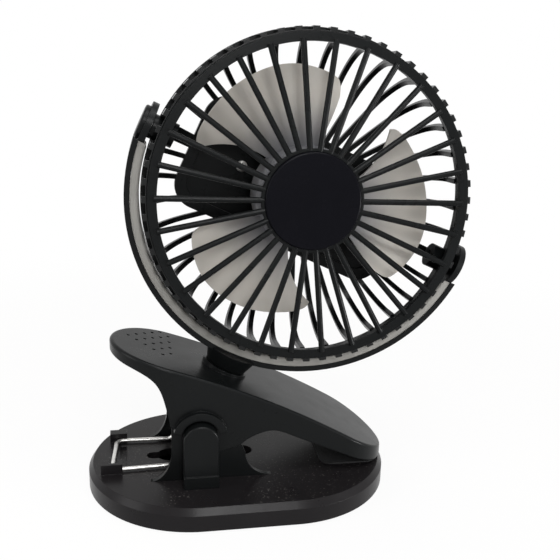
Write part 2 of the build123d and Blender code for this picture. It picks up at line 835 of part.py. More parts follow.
def crescent_profile():
    """Ring sector above the pivot cover, in a side view."""
    inner = cover_post_radius + skirt_boss_gap
    middle = (skirt_boss_start + skirt_boss_end) / 2
    with BuildSketch() as profile:
        with BuildLine():
            low = ThreePointArc(
                about_pivot(inner, skirt_boss_start),
                about_pivot(inner, middle),
                about_pivot(inner, skirt_boss_end),
            )
            high = ThreePointArc(
                about_pivot(skirt_boss_outer, skirt_boss_start),
                about_pivot(skirt_boss_outer, middle),
                about_pivot(skirt_boss_outer, skirt_boss_end),
            )
            Line(low @ 1, high @ 1)
            Line(high @ 0, low @ 0)
        make_face()
    return profile.sketch


def thumb_holes():
    """Centres of the perforation, a wedge of columns that widens from the tip."""
    holes = []
    for column, count in enumerate(thumb_hole_columns):
        x = thumb_first_x + column * thumb_column_pitch
        for row in range(count):
            holes.append((x, thumb_middle_y + (row - (count - 1) / 2) * thumb_row_pitch))
    return holes


def make_jaw_pad():
    """Rubber pad that fills the nose from below."""
    pad_floor = base_top + pad_proud + face_gap
    with BuildPart() as jaw_pad:
        with BuildSketch(side_sketch_plane(0)):
            with BuildLine():
                Polyline(
                    (pad_left_x, pad_low(pad_left_x)),
                    (nose_corner[0] - 1.0, pad_floor),
                    (pad_right_x, pad_floor),
                    (pad_right_x, pad_floor + pad_depth / 2),
                    (pad_left_x, pad_low(pad_left_x) + pad_depth),
                    close=True,
                )
            make_face()
        extrude(amount=pad_half_width, both=True)
        with BuildSketch(Plane.XY):
            jaw_plan(jaw_wall + seat_gap)
        extrude(amount=tilt_axis_z, mode=Mode.INTERSECT)
    return jaw_pad


def pad_low(x):
    """Underside of the pad, which follows the slope of the mouth."""
    slope = (mouth_top[1] - nose_low) / (mouth_top[0] - nose_corner[0])
    return nose_low + slope * (x - nose_corner[0]) - pad_low_drop


# ---------------------------------------------------------------- yoke
def ring_sector(outer, inner, start, end):
    """Add a sector of a flat ring, angles in degrees."""

    def at(radius, angle):
        return (radius * cos(radians(angle)), radius * sin(radians(angle)))

    middle = (start + end) / 2
    with BuildSketch() as profile:
        with BuildLine():
            ThreePointArc(at(outer, start), at(outer, middle), at(outer, end))
            Line(at(outer, end), at(inner, end))
            ThreePointArc(at(inner, end), at(inner, middle), at(inner, start))
            Line(at(inner, start), at(outer, start))
        make_face()
    return profile.sketch


def make_yoke_arm():
    with BuildPart() as yoke_arm:
        with BuildSketch(yoke_face):
            add(ring_sector(yoke_outer, yoke_outer - yoke_band, 180, 360))
        extrude(amount=yoke_depth / 2, both=True)
        for side in (-1, 1):
            # round disc at the end, with nothing of the band outside it
            with BuildSketch(tilt_end_plane(side, lug_inner)):
                Circle(lug_radius)
            extrude(amount=lug_face - lug_inner)
            with BuildSketch(tilt_end_plane(side, lug_face)):
                Circle(lug_radius)
            extrude(amount=yoke_outer, mode=Mode.SUBTRACT)
            # stepped bore: the pin, its head and the cap
            with BuildSketch(tilt_end_plane(side, lug_inner - merge)):
                Circle(tilt_pin_radius + seat_gap)
            extrude(amount=lug_face - lug_inner + 2 * merge, mode=Mode.SUBTRACT)
            with BuildSketch(tilt_end_plane(side, pin_head_seat)):
                Circle(tilt_pin_head_radius + seat_gap)
            extrude(amount=tilt_pin_head_height + 2 * merge, mode=Mode.SUBTRACT)
            with BuildSketch(tilt_end_plane(side, lug_face - cap_seat)):
                Circle(cap_radius + seat_gap)
            extrude(amount=cap_seat + merge, mode=Mode.SUBTRACT)
        # neck: a cone under the band, and the stem that turns in the jaw
        with BuildSketch(neck_section(yoke_outer - yoke_band + merge)):
            Circle(neck_top_radius)
        with BuildSketch(neck_section(neck_low)):
            Circle(neck_low_radius)
        loft()
        with BuildSketch(neck_section(neck_low - merge)):
            Circle(stem_radius)
        extrude(amount=collar_low - neck_low + merge + running_gap)
        with BuildSketch(neck_section(collar_low - swivel_screw_depth)):
            Circle(stem_bore + seat_gap)
        extrude(amount=swivel_screw_depth + past, mode=Mode.SUBTRACT)
    return yoke_arm


def make_yoke_inlay():
    with BuildPart() as yoke_inlay:
        with BuildSketch(yoke_face):
            add(ring_sector(
                yoke_outer - yoke_band - seat_gap,
                yoke_inner,
                180,
                360,
            ))
        extrude(amount=inlay_depth / 2, both=True)
        inner_edges = yoke_inlay.edges().filter_by(inlay_inner_edge)
        fillet(inner_edges, inlay_round)
        # both ends stop at the round discs
        for side in (-1, 1):
            with BuildSketch(tilt_end_plane(side, yoke_inner - past)):
                Circle(lug_radius + seat_gap)
            extrude(amount=yoke_outer, mode=Mode.SUBTRACT)
    return yoke_inlay


def inlay_inner_edge(edge):
    """True for the two long edges along the inlay's inner side."""
    middle = edge @ 0.5
    offset = (middle - tilt_centre)
    flat = offset - yoke_face.z_dir * offset.dot(yoke_face.z_dir)
    return abs(flat.length - yoke_inner) < seat_gap and edge.length > yoke_inner


def make_pivot_cap(side):
    proud = cap_proud_right if side > 0 else cap_proud_left
    with BuildPart() as pivot_cap:
        with BuildSketch(tilt_end_plane(side, lug_face - cap_seat)):
            Circle(cap_radius)
        extrude(amount=cap_seat + proud)
        outer = pivot_cap.faces().sort_by(Axis(tilt_centre, yoke_plane.x_dir * side))[-1]
        fillet(outer.edges(), cap_round)
    return pivot_cap


def make_tilt_pins():
    with BuildPart() as tilt_pins:
        for side in (-1, 1):
            with BuildSketch(tilt_end_plane(side, pin_head_seat)):
                Circle(tilt_pin_head_radius)
            extrude(amount=tilt_pin_head_height - seat_gap)
            with BuildSketch(tilt_end_plane(side, pin_start)):
                Circle(tilt_pin_radius)
            extrude(amount=pin_head_seat - pin_start)
    return tilt_pins


def make_swivel_washer():
    with BuildPart() as swivel_washer:
        with BuildSketch(neck_section(collar_low + 2 * running_gap)):
            Circle(washer_radius)
            Circle(stem_bore + seat_gap, mode=Mode.SUBTRACT)
        extrude(amount=washer_thickness)
    return swivel_washer


def make_swivel_screw():
    with BuildPart() as swivel_screw:
        head_place = collar_low + 2 * running_gap + washer_thickness + running_gap
        with BuildSketch(neck_section(head_place)):
            Circle(swivel_screw_head)
        extrude(amount=swivel_screw_head_height)
        with BuildSketch(neck_section(collar_low - swivel_screw_depth + face_gap)):
            Circle(stem_bore)
        extrude(amount=head_place - collar_low + swivel_screw_depth)
    return swivel_screw


# ---------------------------------------------------------------- fan head
def make_front_grille():
    with BuildPart(head_plane) as front_grille:
        with BuildSketch(head_plane.offset(ring_back)):
            Circle(ring_outer)
            Circle(ring_inner, mode=Mode.SUBTRACT)
        extrude(amount=ring_front - ring_back)
        with BuildSketch(head_plane.offset(hub_plate_front - hub_plate_thickness)):
            Circle(hub_plate_outer)
            Circle(hub_plate_inner, mode=Mode.SUBTRACT)
        extrude(amount=hub_plate_thickness)
        spoke_length = spoke_outer - spoke_inner
        spoke_place = (spoke_inner + spoke_outer) / 2
        with Locations((0, 0, spoke_centre)):
            with PolarLocations(spoke_place, spoke_count, start_angle=spoke_phase):
                Cylinder(spoke_radius, spoke_length, rotation=(0, 90, 0))
        with BuildSketch(head_plane.offset(hub_plate_front - cap_disc_thickness)):
            Circle(cap_disc_radius + seat_gap)
        extrude(amount=spoke_centre, mode=Mode.SUBTRACT)
    return front_grille


def make_front_cap():
    with BuildPart() as front_cap:
        with BuildSketch(head_plane.offset(hub_plate_front - cap_disc_thickness)):
            Circle(cap_disc_radius)
        extrude(amount=cap_disc_thickness + cap_disc_proud)
        face = front_cap.faces().sort_by(head_axis)[-1]
        fillet(face.edges(), cap_disc_round)
    return front_cap


def make_cage_bar(width, grow):
    """One back bar in the frame of the head: along the back, round the bend, to the band."""
    outer = cage_outer + grow
    back = cage_back - grow
    front = band_back + cage_bar_end
    thickness = cage_bar + 2 * grow
    bend_radius = cage_bend + grow
    with BuildPart() as cage_bar_part:
        with BuildSketch(Plane.XZ):
            with BuildLine():
                flat = Line((hub_start, back), (outer - bend_radius, back))
                bend = JernArc(flat @ 1, flat % 1, bend_radius, 90)
                rise = Line(bend @ 1, (outer, front))
                Line(rise @ 1, (outer - thickness, front))
                inner_rise = Line((outer - thickness, front), (outer - thickness, (bend @ 1).Y))
                inner_bend = JernArc(inner_rise @ 1, (0, -1), bend_radius - thickness, -90)
                inner_flat = Line(inner_bend @ 1, (hub_start, back + thickness))
                Line(inner_flat @ 1, flat @ 0)
            make_face()
        extrude(amount=width / 2, both=True)
    return cage_bar_part.part


def bar_turn(number):
    """Angle of one rear bar round the fan's axis, from the tilt axis."""
    even = bar_phase + number * 360 / cage_bar_count
    return even + bar_sway * cos(radians(even - bar_sway_angle))


def make_tilt_arm():
    """One wide arm with its pivot boss, in the frame of the head."""
    with BuildPart() as tilt_arm:
        add(make_cage_bar(arm_bar_width, arm_bar_grow))
        with BuildSketch(Plane.YZ.offset(boss_inner)):
            Circle(boss_radius)
        extrude(amount=lug_inner - face_gap - boss_inner)
    return tilt_arm.part


def make_back_grille():
    with BuildPart(head_plane) as back_grille:
        # rim band, and the wall that carries the front ring
        with BuildSketch(head_plane.offset(band_back)):
            Circle(band_outer)
            Circle(band_inner, mode=Mode.SUBTRACT)
        extrude(amount=band_front - band_back)
        with BuildSketch(head_plane.offset(band_back)):
            Circle(rim_wall_outer)
            Circle(band_inner, mode=Mode.SUBTRACT)
        extrude(amount=ring_back - band_back)
        bar_turns = [bar_turn(number) for number in range(cage_bar_count)]
        with Locations(*[Location((0, 0, 0), (0, 0, turn)) for turn in bar_turns]):
            add(make_cage_bar(cage_bar_width, 0.0))
        # wide arms out to the tilt pivots
        with PolarLocations(0, 2):
            add(make_tilt_arm())
        # central tray
        with BuildSketch(head_plane.offset(cage_back)):
            RectangleRounded(tray_length, tray_width, tray_corner)
        extrude(amount=tray_front - cage_back)
        with BuildSketch(head_plane.offset(cage_back + tray_floor)):
            RectangleRounded(
                tray_length - 2 * tray_rim, tray_width - 2 * tray_rim, tray_inner_corner
            )
        extrude(amount=tray_front - cage_back, mode=Mode.SUBTRACT)
        # bore of both tilt pins, along the tilt axis
        with Locations(Location((0, 0, 0), (0, 90, 0))):
            Cylinder(tilt_pin_radius + running_gap, 2 * lug_inner, mode=Mode.SUBTRACT)
        # screw holes and the hole for the motor leads
        with BuildSketch(head_plane.offset(cage_back - past)):
            with Locations((-tray_screw_x, 0), (tray_screw_x, 0)):
                Circle(tray_screw_radius + seat_gap)
            with Locations((0, lead_hole_y)):
                Circle(lead_hole_radius)
        extrude(amount=tray_floor + 2 * past, mode=Mode.SUBTRACT)
    return back_grille


def make_grip_ring():
    """Thin ring with grip ribs, round the wall between the band and the front ring."""
    with BuildPart(head_plane) as grip_ring:
        with BuildSketch(head_plane.offset(band_front + seat_gap)):
            Circle(rim_wall_outer + seat_gap + grip_wall)
            with PolarLocations(rib_middle, rib_count):
                Rectangle(rib_outer - rim_wall_outer - grip_wall, rib_width)
            Circle(rim_wall_outer + seat_gap, mode=Mode.SUBTRACT)
        extrude(amount=ring_back - band_front - 2 * seat_gap)
        # notches round both pivot bosses
        with Locations(Location((0, 0, 0), (0, 90, 0))):
            Cylinder(boss_radius + face_gap, 2 * band_outer, mode=Mode.SUBTRACT)
    return grip_ring


def make_rear_cover():
    outer_length = tray_length - 2 * rear_inset
    outer_width = tray_width - 2 * rear_inset
    back_plane = head_plane.offset(rear_front - rear_depth)
    with BuildPart() as rear_cover:
        with BuildSketch(back_plane):
            RectangleRounded(outer_length, outer_width, tray_corner - rear_inset)
        extrude(amount=rear_depth)
        back_face = rear_cover.faces().sort_by(head_axis)[0]
        fillet(back_face.edges(), rear_round)
        with BuildSketch(back_plane.offset(rear_wall)):
            RectangleRounded(
                outer_length - 2 * rear_rim,
                outer_width - 2 * rear_rim,
                tray_corner - rear_rim,
            )
        extrude(amount=rear_depth, mode=Mode.SUBTRACT)
        # posts that carry the board
        with BuildSketch(back_plane.offset(rear_wall - merge)):
            with Locations(*board_posts()):
                Circle(board_post_radius)
        extrude(amount=board_back_gap + merge)
        # slot of the charging socket, in the lower wall
        usb_plane = Plane(
            origin=tilt_centre
            + head_plane.x_dir * usb_x
            + head_plane.z_dir * (board_back_z - usb_size[2] / 2)
            - head_plane.y_dir * (outer_width / 2 - rear_rim - past),
            x_dir=head_plane.x_dir,
            z_dir=-head_plane.y_dir,
        )
        with BuildSketch(usb_plane):
            RectangleRounded(usb_size[0] + 2 * usb_slot_gap, usb_size[2] + 2 * usb_slot_gap, usb_slot_corner)
        extrude(amount=rear_rim + 2 * past, mode=Mode.SUBTRACT)
        # hole of the button
        with BuildSketch(back_plane.offset(-past)):
            with Locations((button_x, button_y)):
                Circle(button_radius + running_gap)
        extrude(amount=rear_wall + 2 * past, mode=Mode.SUBTRACT)
    return rear_cover


def board_posts():
    """Four posts under the corners of the circuit board."""
    half_x = board_size[0] / 2 - board_post_inset
    half_y = board_size[1] / 2 - board_post_inset
    return [(board_x + sx * half_x, sy * half_y) for sx in (-1, 1) for sy in (-1, 1)]


def make_battery():
    with BuildPart() as battery:
        with BuildSketch(head_plane.offset(rear_front - face_gap - battery_size[2])):
            with Locations((battery_x, 0)):
                RectangleRounded(battery_size[0], battery_size[1], battery_corner)
        extrude(amount=battery_size[2])
    return battery


def make_circuit_board():
    with BuildPart() as circuit_board:
        with BuildSketch(head_plane.offset(board_back_z)):
            with Locations((board_x, 0)):
                RectangleRounded(board_size[0], board_size[1], board_corner)
        extrude(amount=board_size[2])
        switch_height = board_back_gap - button_flange_height - button_travel - 2 * face_gap
        with BuildSketch(head_plane.offset(board_back_z - switch_height)):
            with Locations((button_x, button_y)):
                Rectangle(switch_side, switch_side)
        extrude(amount=switch_height)
    return circuit_board


def make_usb_socket():
    with BuildPart() as usb_socket:
        centre_y = -(board_size[1] / 2 - usb_size[1] / 2 + usb_overhang)
        with BuildSketch(head_plane.offset(board_back_z - usb_size[2])):
            with Locations((usb_x, centre_y)):
                Rectangle(usb_size[0], usb_size[1])
        extrude(amount=usb_size[2])
    return usb_socket


def make_power_button():
    back_z = rear_front - rear_depth
    with BuildPart() as power_button:
        with BuildSketch(head_plane.offset(back_z - button_proud)):
            with Locations((button_x, button_y)):
                Circle(button_radius)
        extrude(amount=button_proud + rear_wall + running_gap)
        with BuildSketch(head_plane.offset(back_z + rear_wall + running_gap)):
            with Locations((button_x, button_y)):
                Circle(button_flange)
        extrude(amount=button_flange_height)
        outer = power_button.faces().sort_by(head_axis)[0]
        fillet(outer.edges(), button_round)
    return power_button


def make_motor():
    with BuildPart() as motor:
        with BuildSketch(head_plane.offset(tray_floor_z)):
            Circle(motor_radius)
        extrude(amount=motor_length)
        fillet(motor.faces().sort_by(head_axis)[-1].edges(), motor_round)
        with BuildSketch(head_plane.offset(tray_floor_z + motor_length)):
            Circle(motor_boss_radius)
        extrude(amount=motor_boss_height)
        with BuildSketch(head_plane.offset(tray_floor_z + motor_length + motor_boss_height)):
            Circle(shaft_radius + running_gap)
        extrude(amount=-shaft_bore_depth, mode=Mode.SUBTRACT)
    return motor


def make_motor_shaft():
    bottom = tray_floor_z + motor_length + motor_boss_height - shaft_bore_depth + face_gap
    with BuildPart() as motor_shaft:
        with BuildSketch(head_plane.offset(bottom)):
            Circle(shaft_radius)
        extrude(amount=rotor_front - rotor_hub_wall - shaft_tip_gap - bottom)
    return motor_shaft


def make_tray_screws():
    with BuildPart() as tray_screws:
        with BuildSketch(head_plane.offset(tray_floor_z + seat_gap)):
            with Locations((-tray_screw_x, 0), (tray_screw_x, 0)):
                Circle(tray_screw_head)
        extrude(amount=tray_screw_head_height)
        fillet(tray_screws.faces().group_by(head_axis)[-1].edges(), tray_screw_round)
        with BuildSketch(head_plane.offset(tray_floor_z + seat_gap)):
            with Locations((-tray_screw_x, 0), (tray_screw_x, 0)):
                Circle(tray_screw_radius)
        extrude(amount=-(tray_floor + seat_gap))
    return tray_screws


# ---------------------------------------------------------------- rotor
def blade_outline():
    """Front view of one blade, before it is bent to its screw surface."""
    tip = blade_tip_angle
    tail = blade_tip_angle - blade_sweep
    root = rotor_hub_radius - blade_root_depth

    def at(radius, angle):
        return (radius * cos(radians(angle)), radius * sin(radians(angle)))

    with BuildSketch() as profile:
        with BuildLine():
            leading = Spline(
                at(root, tip - blade_root_lag),
                at(rotor_radius * blade_neck_share, tip - blade_neck_lag),
                at(rotor_radius * blade_tip_share, tip),
            )
            rim = Spline(
                leading @ 1,
                at(rotor_radius * blade_shoulder_share, tip - blade_shoulder_lag),
                at(rotor_radius, tip - blade_rim_start),
                at(rotor_radius, tip - blade_rim_end),
                at(rotor_radius * blade_heel_share, tail + blade_heel_lead),
                at(rotor_radius * blade_tail_share, tail),
                tangents=(at(1.0, tip - blade_tip_turn), at(1.0, tail + blade_tail_turn)),
            )
            trailing = Spline(
                rim @ 1,
                at(rotor_radius * blade_neck_share, tail + blade_waist_lead),
                at(root, tail + blade_root_lead),
            )
            Line(trailing @ 1, leading @ 0)
        make_face()
    return profile.sketch


def make_rotor():
    middle_angle = blade_tip_angle - blade_sweep / 2
    with BuildPart() as blade:
        for step in range(-blade_steps, blade_steps + 1):
            angle = middle_angle + step * blade_step_angle
            turned = spun(Plane.XY, angle)
            section = Plane(origin=(0, 0, 0), x_dir=turned.x_dir, z_dir=-turned.y_dir)
            rise = -radians(step * blade_step_angle) * blade_lead
            with BuildSketch(section):
                with Locations(((blade_sheet_start + blade_sheet_end) / 2, blade_middle + rise)):
                    Rectangle(blade_sheet_end - blade_sheet_start, blade_thickness)
        loft()
        with BuildSketch():
            add(blade_outline())
        extrude(amount=rotor_radius, both=True, mode=Mode.INTERSECT)
    with BuildPart(head_plane) as rotor:
        with BuildSketch(head_plane.offset(rotor_front - rotor_hub_depth)):
            Circle(rotor_hub_radius)
        extrude(amount=rotor_hub_depth)
        fillet(rotor.faces().sort_by(head_axis)[-1].edges(), rotor_hub_round)
        with BuildSketch(head_plane.offset(rotor_front - rotor_hub_depth)):
            Circle(rotor_hub_radius - rotor_hub_wall)
        extrude(amount=rotor_hub_depth - rotor_hub_wall, mode=Mode.SUBTRACT)
        with BuildSketch(head_plane.offset(rotor_front - rotor_hub_wall)):
            Circle(rotor_boss_radius)
        extrude(amount=-rotor_boss_depth)
        with PolarLocations(0, blade_count, start_angle=rotor_phase):
            add(blade.part)
        with BuildSketch(head_plane.offset(rotor_front - rotor_hub_depth)):
            Circle(rotor_hub_radius - rotor_hub_wall)
            Circle(rotor_boss_radius, mode=Mode.SUBTRACT)
        extrude(amount=rotor_hub_depth - rotor_hub_wall, mode=Mode.SUBTRACT)
        with BuildSketch(head_plane.offset(rotor_front - rotor_hub_depth)):
            Circle(shaft_radius)
        extrude(amount=rotor_hub_depth - rotor_hub_wall - shaft_tip_gap, mode=Mode.SUBTRACT)
    return rotor


# ---------------------------------------------------------------- write the parts
def save(name, builder):
    """Label one finished piece and write it to its file."""
    builder.part.label = name
    export_step(builder.part, f"parts/{name}.step")


os.makedirs("parts", exist_ok=True)
save("base_plate", make_base_plate())
save("bottom_cover", make_bottom_cover())
save("grip_mat", make_grip_mat())
save("base_screws", make_base_screws())
save("base_pad", make_base_pad())
save("hinge_bracket", make_hinge_bracket())
save("pivot_cover_front", make_pivot_cover(-1))
save("pivot_cover_back", make_pivot_cover(1))
save("pivot_pin", make_pivot_pin())
save("torsion_spring", make_torsion_spring())
save("spring_arms", make_spring_arms())
save("jaw_shell", make_jaw_shell())
save("jaw_pad", make_jaw_pad())
save("yoke_arm", make_yoke_arm())
save("yoke_inlay", make_yoke_inlay())
save("pivot_cap_left", make_pivot_cap(-1))
save("pivot_cap_right", make_pivot_cap(1))
save("tilt_pins", make_tilt_pins())
save("swivel_washer", make_swivel_washer())
save("swivel_screw", make_swivel_screw())
save("front_grille", make_front_grille())
save("front_cap", make_front_cap())
save("back_grille", make_back_grille())
save("grip_ring", make_grip_ring())
save("rear_cover", make_rear_cover())
save("battery", make_battery())
save("circuit_board", make_circuit_board())
save("usb_socket", make_usb_socket())
save("power_button", make_power_button())
save("motor", make_motor())
save("motor_shaft", make_motor_shaft())
save("tray_screws", make_tray_screws())
save("rotor", make_rotor())
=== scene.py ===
"""Clip fan: finishes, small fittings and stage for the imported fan.

Everything is in metres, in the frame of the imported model.
"""
import json
import math

import bmesh
import bpy
from mathutils import Matrix, Vector


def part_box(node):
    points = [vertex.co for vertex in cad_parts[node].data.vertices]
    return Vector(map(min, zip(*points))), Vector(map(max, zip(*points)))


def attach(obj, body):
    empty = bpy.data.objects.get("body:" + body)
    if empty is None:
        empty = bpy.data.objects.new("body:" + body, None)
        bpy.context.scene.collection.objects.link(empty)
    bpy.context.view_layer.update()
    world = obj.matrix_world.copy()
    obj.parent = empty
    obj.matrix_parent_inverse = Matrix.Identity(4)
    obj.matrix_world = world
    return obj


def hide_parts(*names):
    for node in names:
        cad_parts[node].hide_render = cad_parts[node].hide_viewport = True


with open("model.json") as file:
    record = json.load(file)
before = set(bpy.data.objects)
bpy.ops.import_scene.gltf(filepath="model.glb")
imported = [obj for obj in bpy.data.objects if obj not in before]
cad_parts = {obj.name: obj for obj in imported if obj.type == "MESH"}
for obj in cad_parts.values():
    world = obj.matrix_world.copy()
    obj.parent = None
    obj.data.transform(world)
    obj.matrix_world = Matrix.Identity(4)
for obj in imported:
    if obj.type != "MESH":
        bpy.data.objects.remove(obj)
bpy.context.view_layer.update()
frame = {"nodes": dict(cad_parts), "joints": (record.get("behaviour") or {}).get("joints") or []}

bl_info = {
    "name": "Clip fan",
    "version": (1, 0, 0),
    "blender": (4, 5, 0),
    "location": "View3D > Sidebar > Clip fan",
    "description": "Dresses the packed clip fan with its finishes, fittings and studio stage",
    "category": "Object",
}

MM = 0.001

# rotor: distances from the middle of the head between which the painted shade and bluish painted
# reflection of the cap near the hub fade into the plain colour
BLADE_ROOT = 0.020
BLADE_FULL_COLOUR = 0.048
BLADE_ROOT_PAINTED_SHADE = (0.30, 0.32, 0.38)

# screws: radius and length of the shank, then the flat heads under the base
SHANK_RADIUS = 1.4 * MM
TRAY_SHANK = 2.0 * MM
TRAY_HEAD_HEIGHT = 1.7 * MM
BASE_SHANK = 4.0 * MM
BASE_HEAD_RADIUS = 2.6 * MM
BASE_HEAD_HEIGHT = 0.8 * MM

# motor leads: radius, and the place of their hole below the middle of the head
LEAD_RADIUS = 0.55 * MM
LEAD_HOLE_Y = -15.5 * MM
LEAD_COLOURS = ((-1, "red", (0.35, 0.01, 0.01)), (1, "black", (0.01, 0.01, 0.01)))

# floor: half its side, its grey, and the share of white glow near the fan and further off
FLOOR_HALF = 3.0
FLOOR_GREY = (0.80, 0.80, 0.80, 1.0)
GLOW_NEAR, GLOW_NEAR_SHARE = 0.16, 0.92
GLOW_FAR, GLOW_FAR_SHARE = 0.45, 1.0

# world: tint of the sky on matt surfaces, and its faintest level
SKY_TINT = (1.0, 0.95, 0.91, 1.0)
SKY_LEAST = 0.04

# lamps: name, place, aim, width, height, and the setting that holds the power
LAMPS = (
    ("key_lamp", (0.13, -0.27, 0.75), (0.0, 0.0, 0.06), 0.5, 0.35, "key"),
    ("front_lamp", (0.037, -0.65, 0.44), (0.0, 0.0, 0.06), 0.17, 0.20, "front"),
    ("right_lamp", (0.66, -0.42, 0.06), (0.03, 0.0, 0.12), 0.34, 0.10, "right"),
    ("left_lamp", (-0.62, -0.18, 0.33), (0.0, 0.0, 0.08), 0.30, 0.50, "left"),
)


# ---------------------------------------------------------------- places read from the frame
def joint(name):
    """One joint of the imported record."""
    return next(j for j in frame["joints"] if j["name"] == name)


def axis_of(name):
    """Direction of a joint's axis."""
    return Vector(joint(name)["axis"]).normalized()


def head_matrix():
    """Frame of the fan head: x along the tilt axis, z towards the front, origin on both."""
    right = axis_of("head_tilt")
    front = axis_of("rotor_spin")
    up = front.cross(right)
    matrix = Matrix((right, up, front)).transposed().to_4x4()
    matrix.translation = Vector(joint("head_tilt")["pos_m"])
    return matrix


HEAD = head_matrix()


def in_head(name):
    """Lowest and highest corner of a node in the frame of the head."""
    inverse = HEAD.inverted()
    points = [inverse @ v.co for v in frame["nodes"][name].data.vertices]
    low = Vector([min(p[i] for p in points) for i in range(3)])
    high = Vector([max(p[i] for p in points) for i in range(3)])
    return low, high


# ---------------------------------------------------------------- settings
class ClipFanColours(bpy.types.PropertyGroup):
    """Colours of the fan's plastics and metals."""

    black: bpy.props.FloatVectorProperty(
        name="Black plastic",
        description="Base, jaw, yoke and cage",
        default=(0.0040, 0.0046, 0.0048),
        subtype="COLOR",
        min=0.0,
        max=1.0,
    )
    plate: bpy.props.FloatVectorProperty(
        name="Base plate",
        description="Slightly warmer and lighter plastic of the oval base",
        default=(0.0088, 0.0079, 0.0086),
        subtype="COLOR",
        min=0.0,
        max=1.0,
    )
    cap: bpy.props.FloatVectorProperty(
        name="Cap",
        description="Smooth round cap in the middle of the front grille",
        default=(0.0020, 0.0020, 0.0035),
        subtype="COLOR",
        min=0.0,
        max=1.0,
    )
    inlay: bpy.props.FloatVectorProperty(
        name="Inlay",
        description="Light band on the inside of the yoke",
        default=(0.26, 0.255, 0.24),
        subtype="COLOR",
        min=0.0,
        max=1.0,
    )
    blade: bpy.props.FloatVectorProperty(
        name="Blade",
        description="Rotor and its three blades",
        default=(0.46, 0.437, 0.40),
        subtype="COLOR",
        min=0.0,
        max=1.0,
    )
    rubber: bpy.props.FloatVectorProperty(
        name="Rubber",
        description="Pads in the mouth and the mat under the base",
        default=(0.009, 0.009, 0.0095),
        subtype="COLOR",
        min=0.0,
        max=1.0,
    )
    steel: bpy.props.FloatVectorProperty(
        name="Steel",
        description="Spring wire, screws and shaft",
        default=(0.72, 0.71, 0.69),
        subtype="COLOR",
        min=0.0,
        max=1.0,
    )


class ClipFanFinish(bpy.types.PropertyGroup):
    """Sizes of the surface detail."""

    grain: bpy.props.FloatProperty(
        name="Grain",
        description="Size of the fine texture of the moulded plastic",
        default=0.0005,
        min=0.0001,
        max=0.003,
        unit="LENGTH",
    )
    grain_depth: bpy.props.FloatProperty(
        name="Grain depth",
        description="Depth of the fine texture of the moulded plastic",
        default=0.00001,
        min=0.0,
        max=0.0002,
        unit="LENGTH",
    )
    edge_radius: bpy.props.FloatProperty(
        name="Edge radius",
        description="Rounding that the light sees along moulded edges",
        default=0.0004,
        min=0.0,
        max=0.002,
        unit="LENGTH",
    )
    dust: bpy.props.FloatProperty(
        name="Dust",
        description="Share of fine specks on faces that look up",
        default=0.5,
        min=0.0,
        max=1.0,
        subtype="FACTOR",
    )


class ClipFanStage(bpy.types.PropertyGroup):
    """Camera and light."""

    camera_place: bpy.props.FloatVectorProperty(
        name="Camera",
        description="Place of the camera",
        default=(-0.0479, -0.3552, 0.1999),
        subtype="XYZ",
        unit="LENGTH",
    )
    azimuth: bpy.props.FloatProperty(
        name="Azimuth",
        description="Turn of the camera about the vertical",
        default=math.radians(-10.5),
        subtype="ANGLE",
    )
    elevation: bpy.props.FloatProperty(
        name="Elevation",
        description="Downward slope of the view",
        default=math.radians(16.5),
        subtype="ANGLE",
    )
    roll: bpy.props.FloatProperty(
        name="Roll",
        description="Turn of the camera about its own axis",
        default=math.radians(1.45),
        subtype="ANGLE",
    )
    lens: bpy.props.FloatProperty(
        name="Lens",
        description="Focal length on a 36 mm wide sensor",
        default=55.29,
        min=10.0,
        max=300.0,
    )
    ambient: bpy.props.FloatProperty(
        name="Ambient",
        description="Strength of the soft light of the sky on matt surfaces",
        default=1.2,
        min=0.0,
        max=2.0,
    )
    key: bpy.props.FloatProperty(
        name="Key",
        description="Power of the large lamp above the fan, in watts",
        default=3.0,
        min=0.0,
        max=200.0,
    )
    front: bpy.props.FloatProperty(
        name="Front",
        description="Power of the small lamp in front, which the sloping edge mirrors, in watts",
        default=2.0,
        min=0.0,
        max=200.0,
    )
    right: bpy.props.FloatProperty(
        name="Right",
        description="Power of the low lamp on the right, which lights the blades, in watts",
        default=3.4,
        min=0.0,
        max=200.0,
    )
    left: bpy.props.FloatProperty(
        name="Left",
        description="Power of the lamp on the left, in watts",
        default=1.6,
        min=0.0,
        max=200.0,
    )


# ---------------------------------------------------------------- node helpers
class Nodes:
    """Small helper that adds and links shader nodes of one material."""

    def __init__(self, material):
        material.use_nodes = True
        self.tree = material.node_tree
        self.tree.nodes.clear()
        self.column = 0

    def add(self, kind, **values):
        """Add a node, set its attributes and its unlinked inputs."""
        node = self.tree.nodes.new(kind)
        node.location = (self.column * 180, 0)
        self.column += 1
        for key, value in values.items():
            if hasattr(node, key):
                setattr(node, key, value)
            else:
                node.inputs[key.replace("_", " ")].default_value = value
        return node

    def link(self, source, target):
        """Join an output socket to an input socket."""
        self.tree.links.new(source, target)


def ramp(nodes, source, stops):
    """Colour ramp with (place, value) stops, as a grey value."""
    node = nodes.add("ShaderNodeValToRGB")
    elements = node.color_ramp.elements
    while len(elements) < len(stops):
        elements.new(0.5)
    for element, (place, value) in zip(elements, stops):
        element.position = place
        element.color = (value, value, value, 1.0)
    nodes.link(source, node.inputs["Fac"])
    return node.outputs["Color"]


def maths(nodes, operation, first, second):
    """Math node of two sockets or numbers."""
    node = nodes.add("ShaderNodeMath", operation=operation)
    for index, value in enumerate((first, second)):
        if isinstance(value, (int, float)):
            node.inputs[index].default_value = value
        else:
            nodes.link(value, node.inputs[index])
    return node.outputs[0]


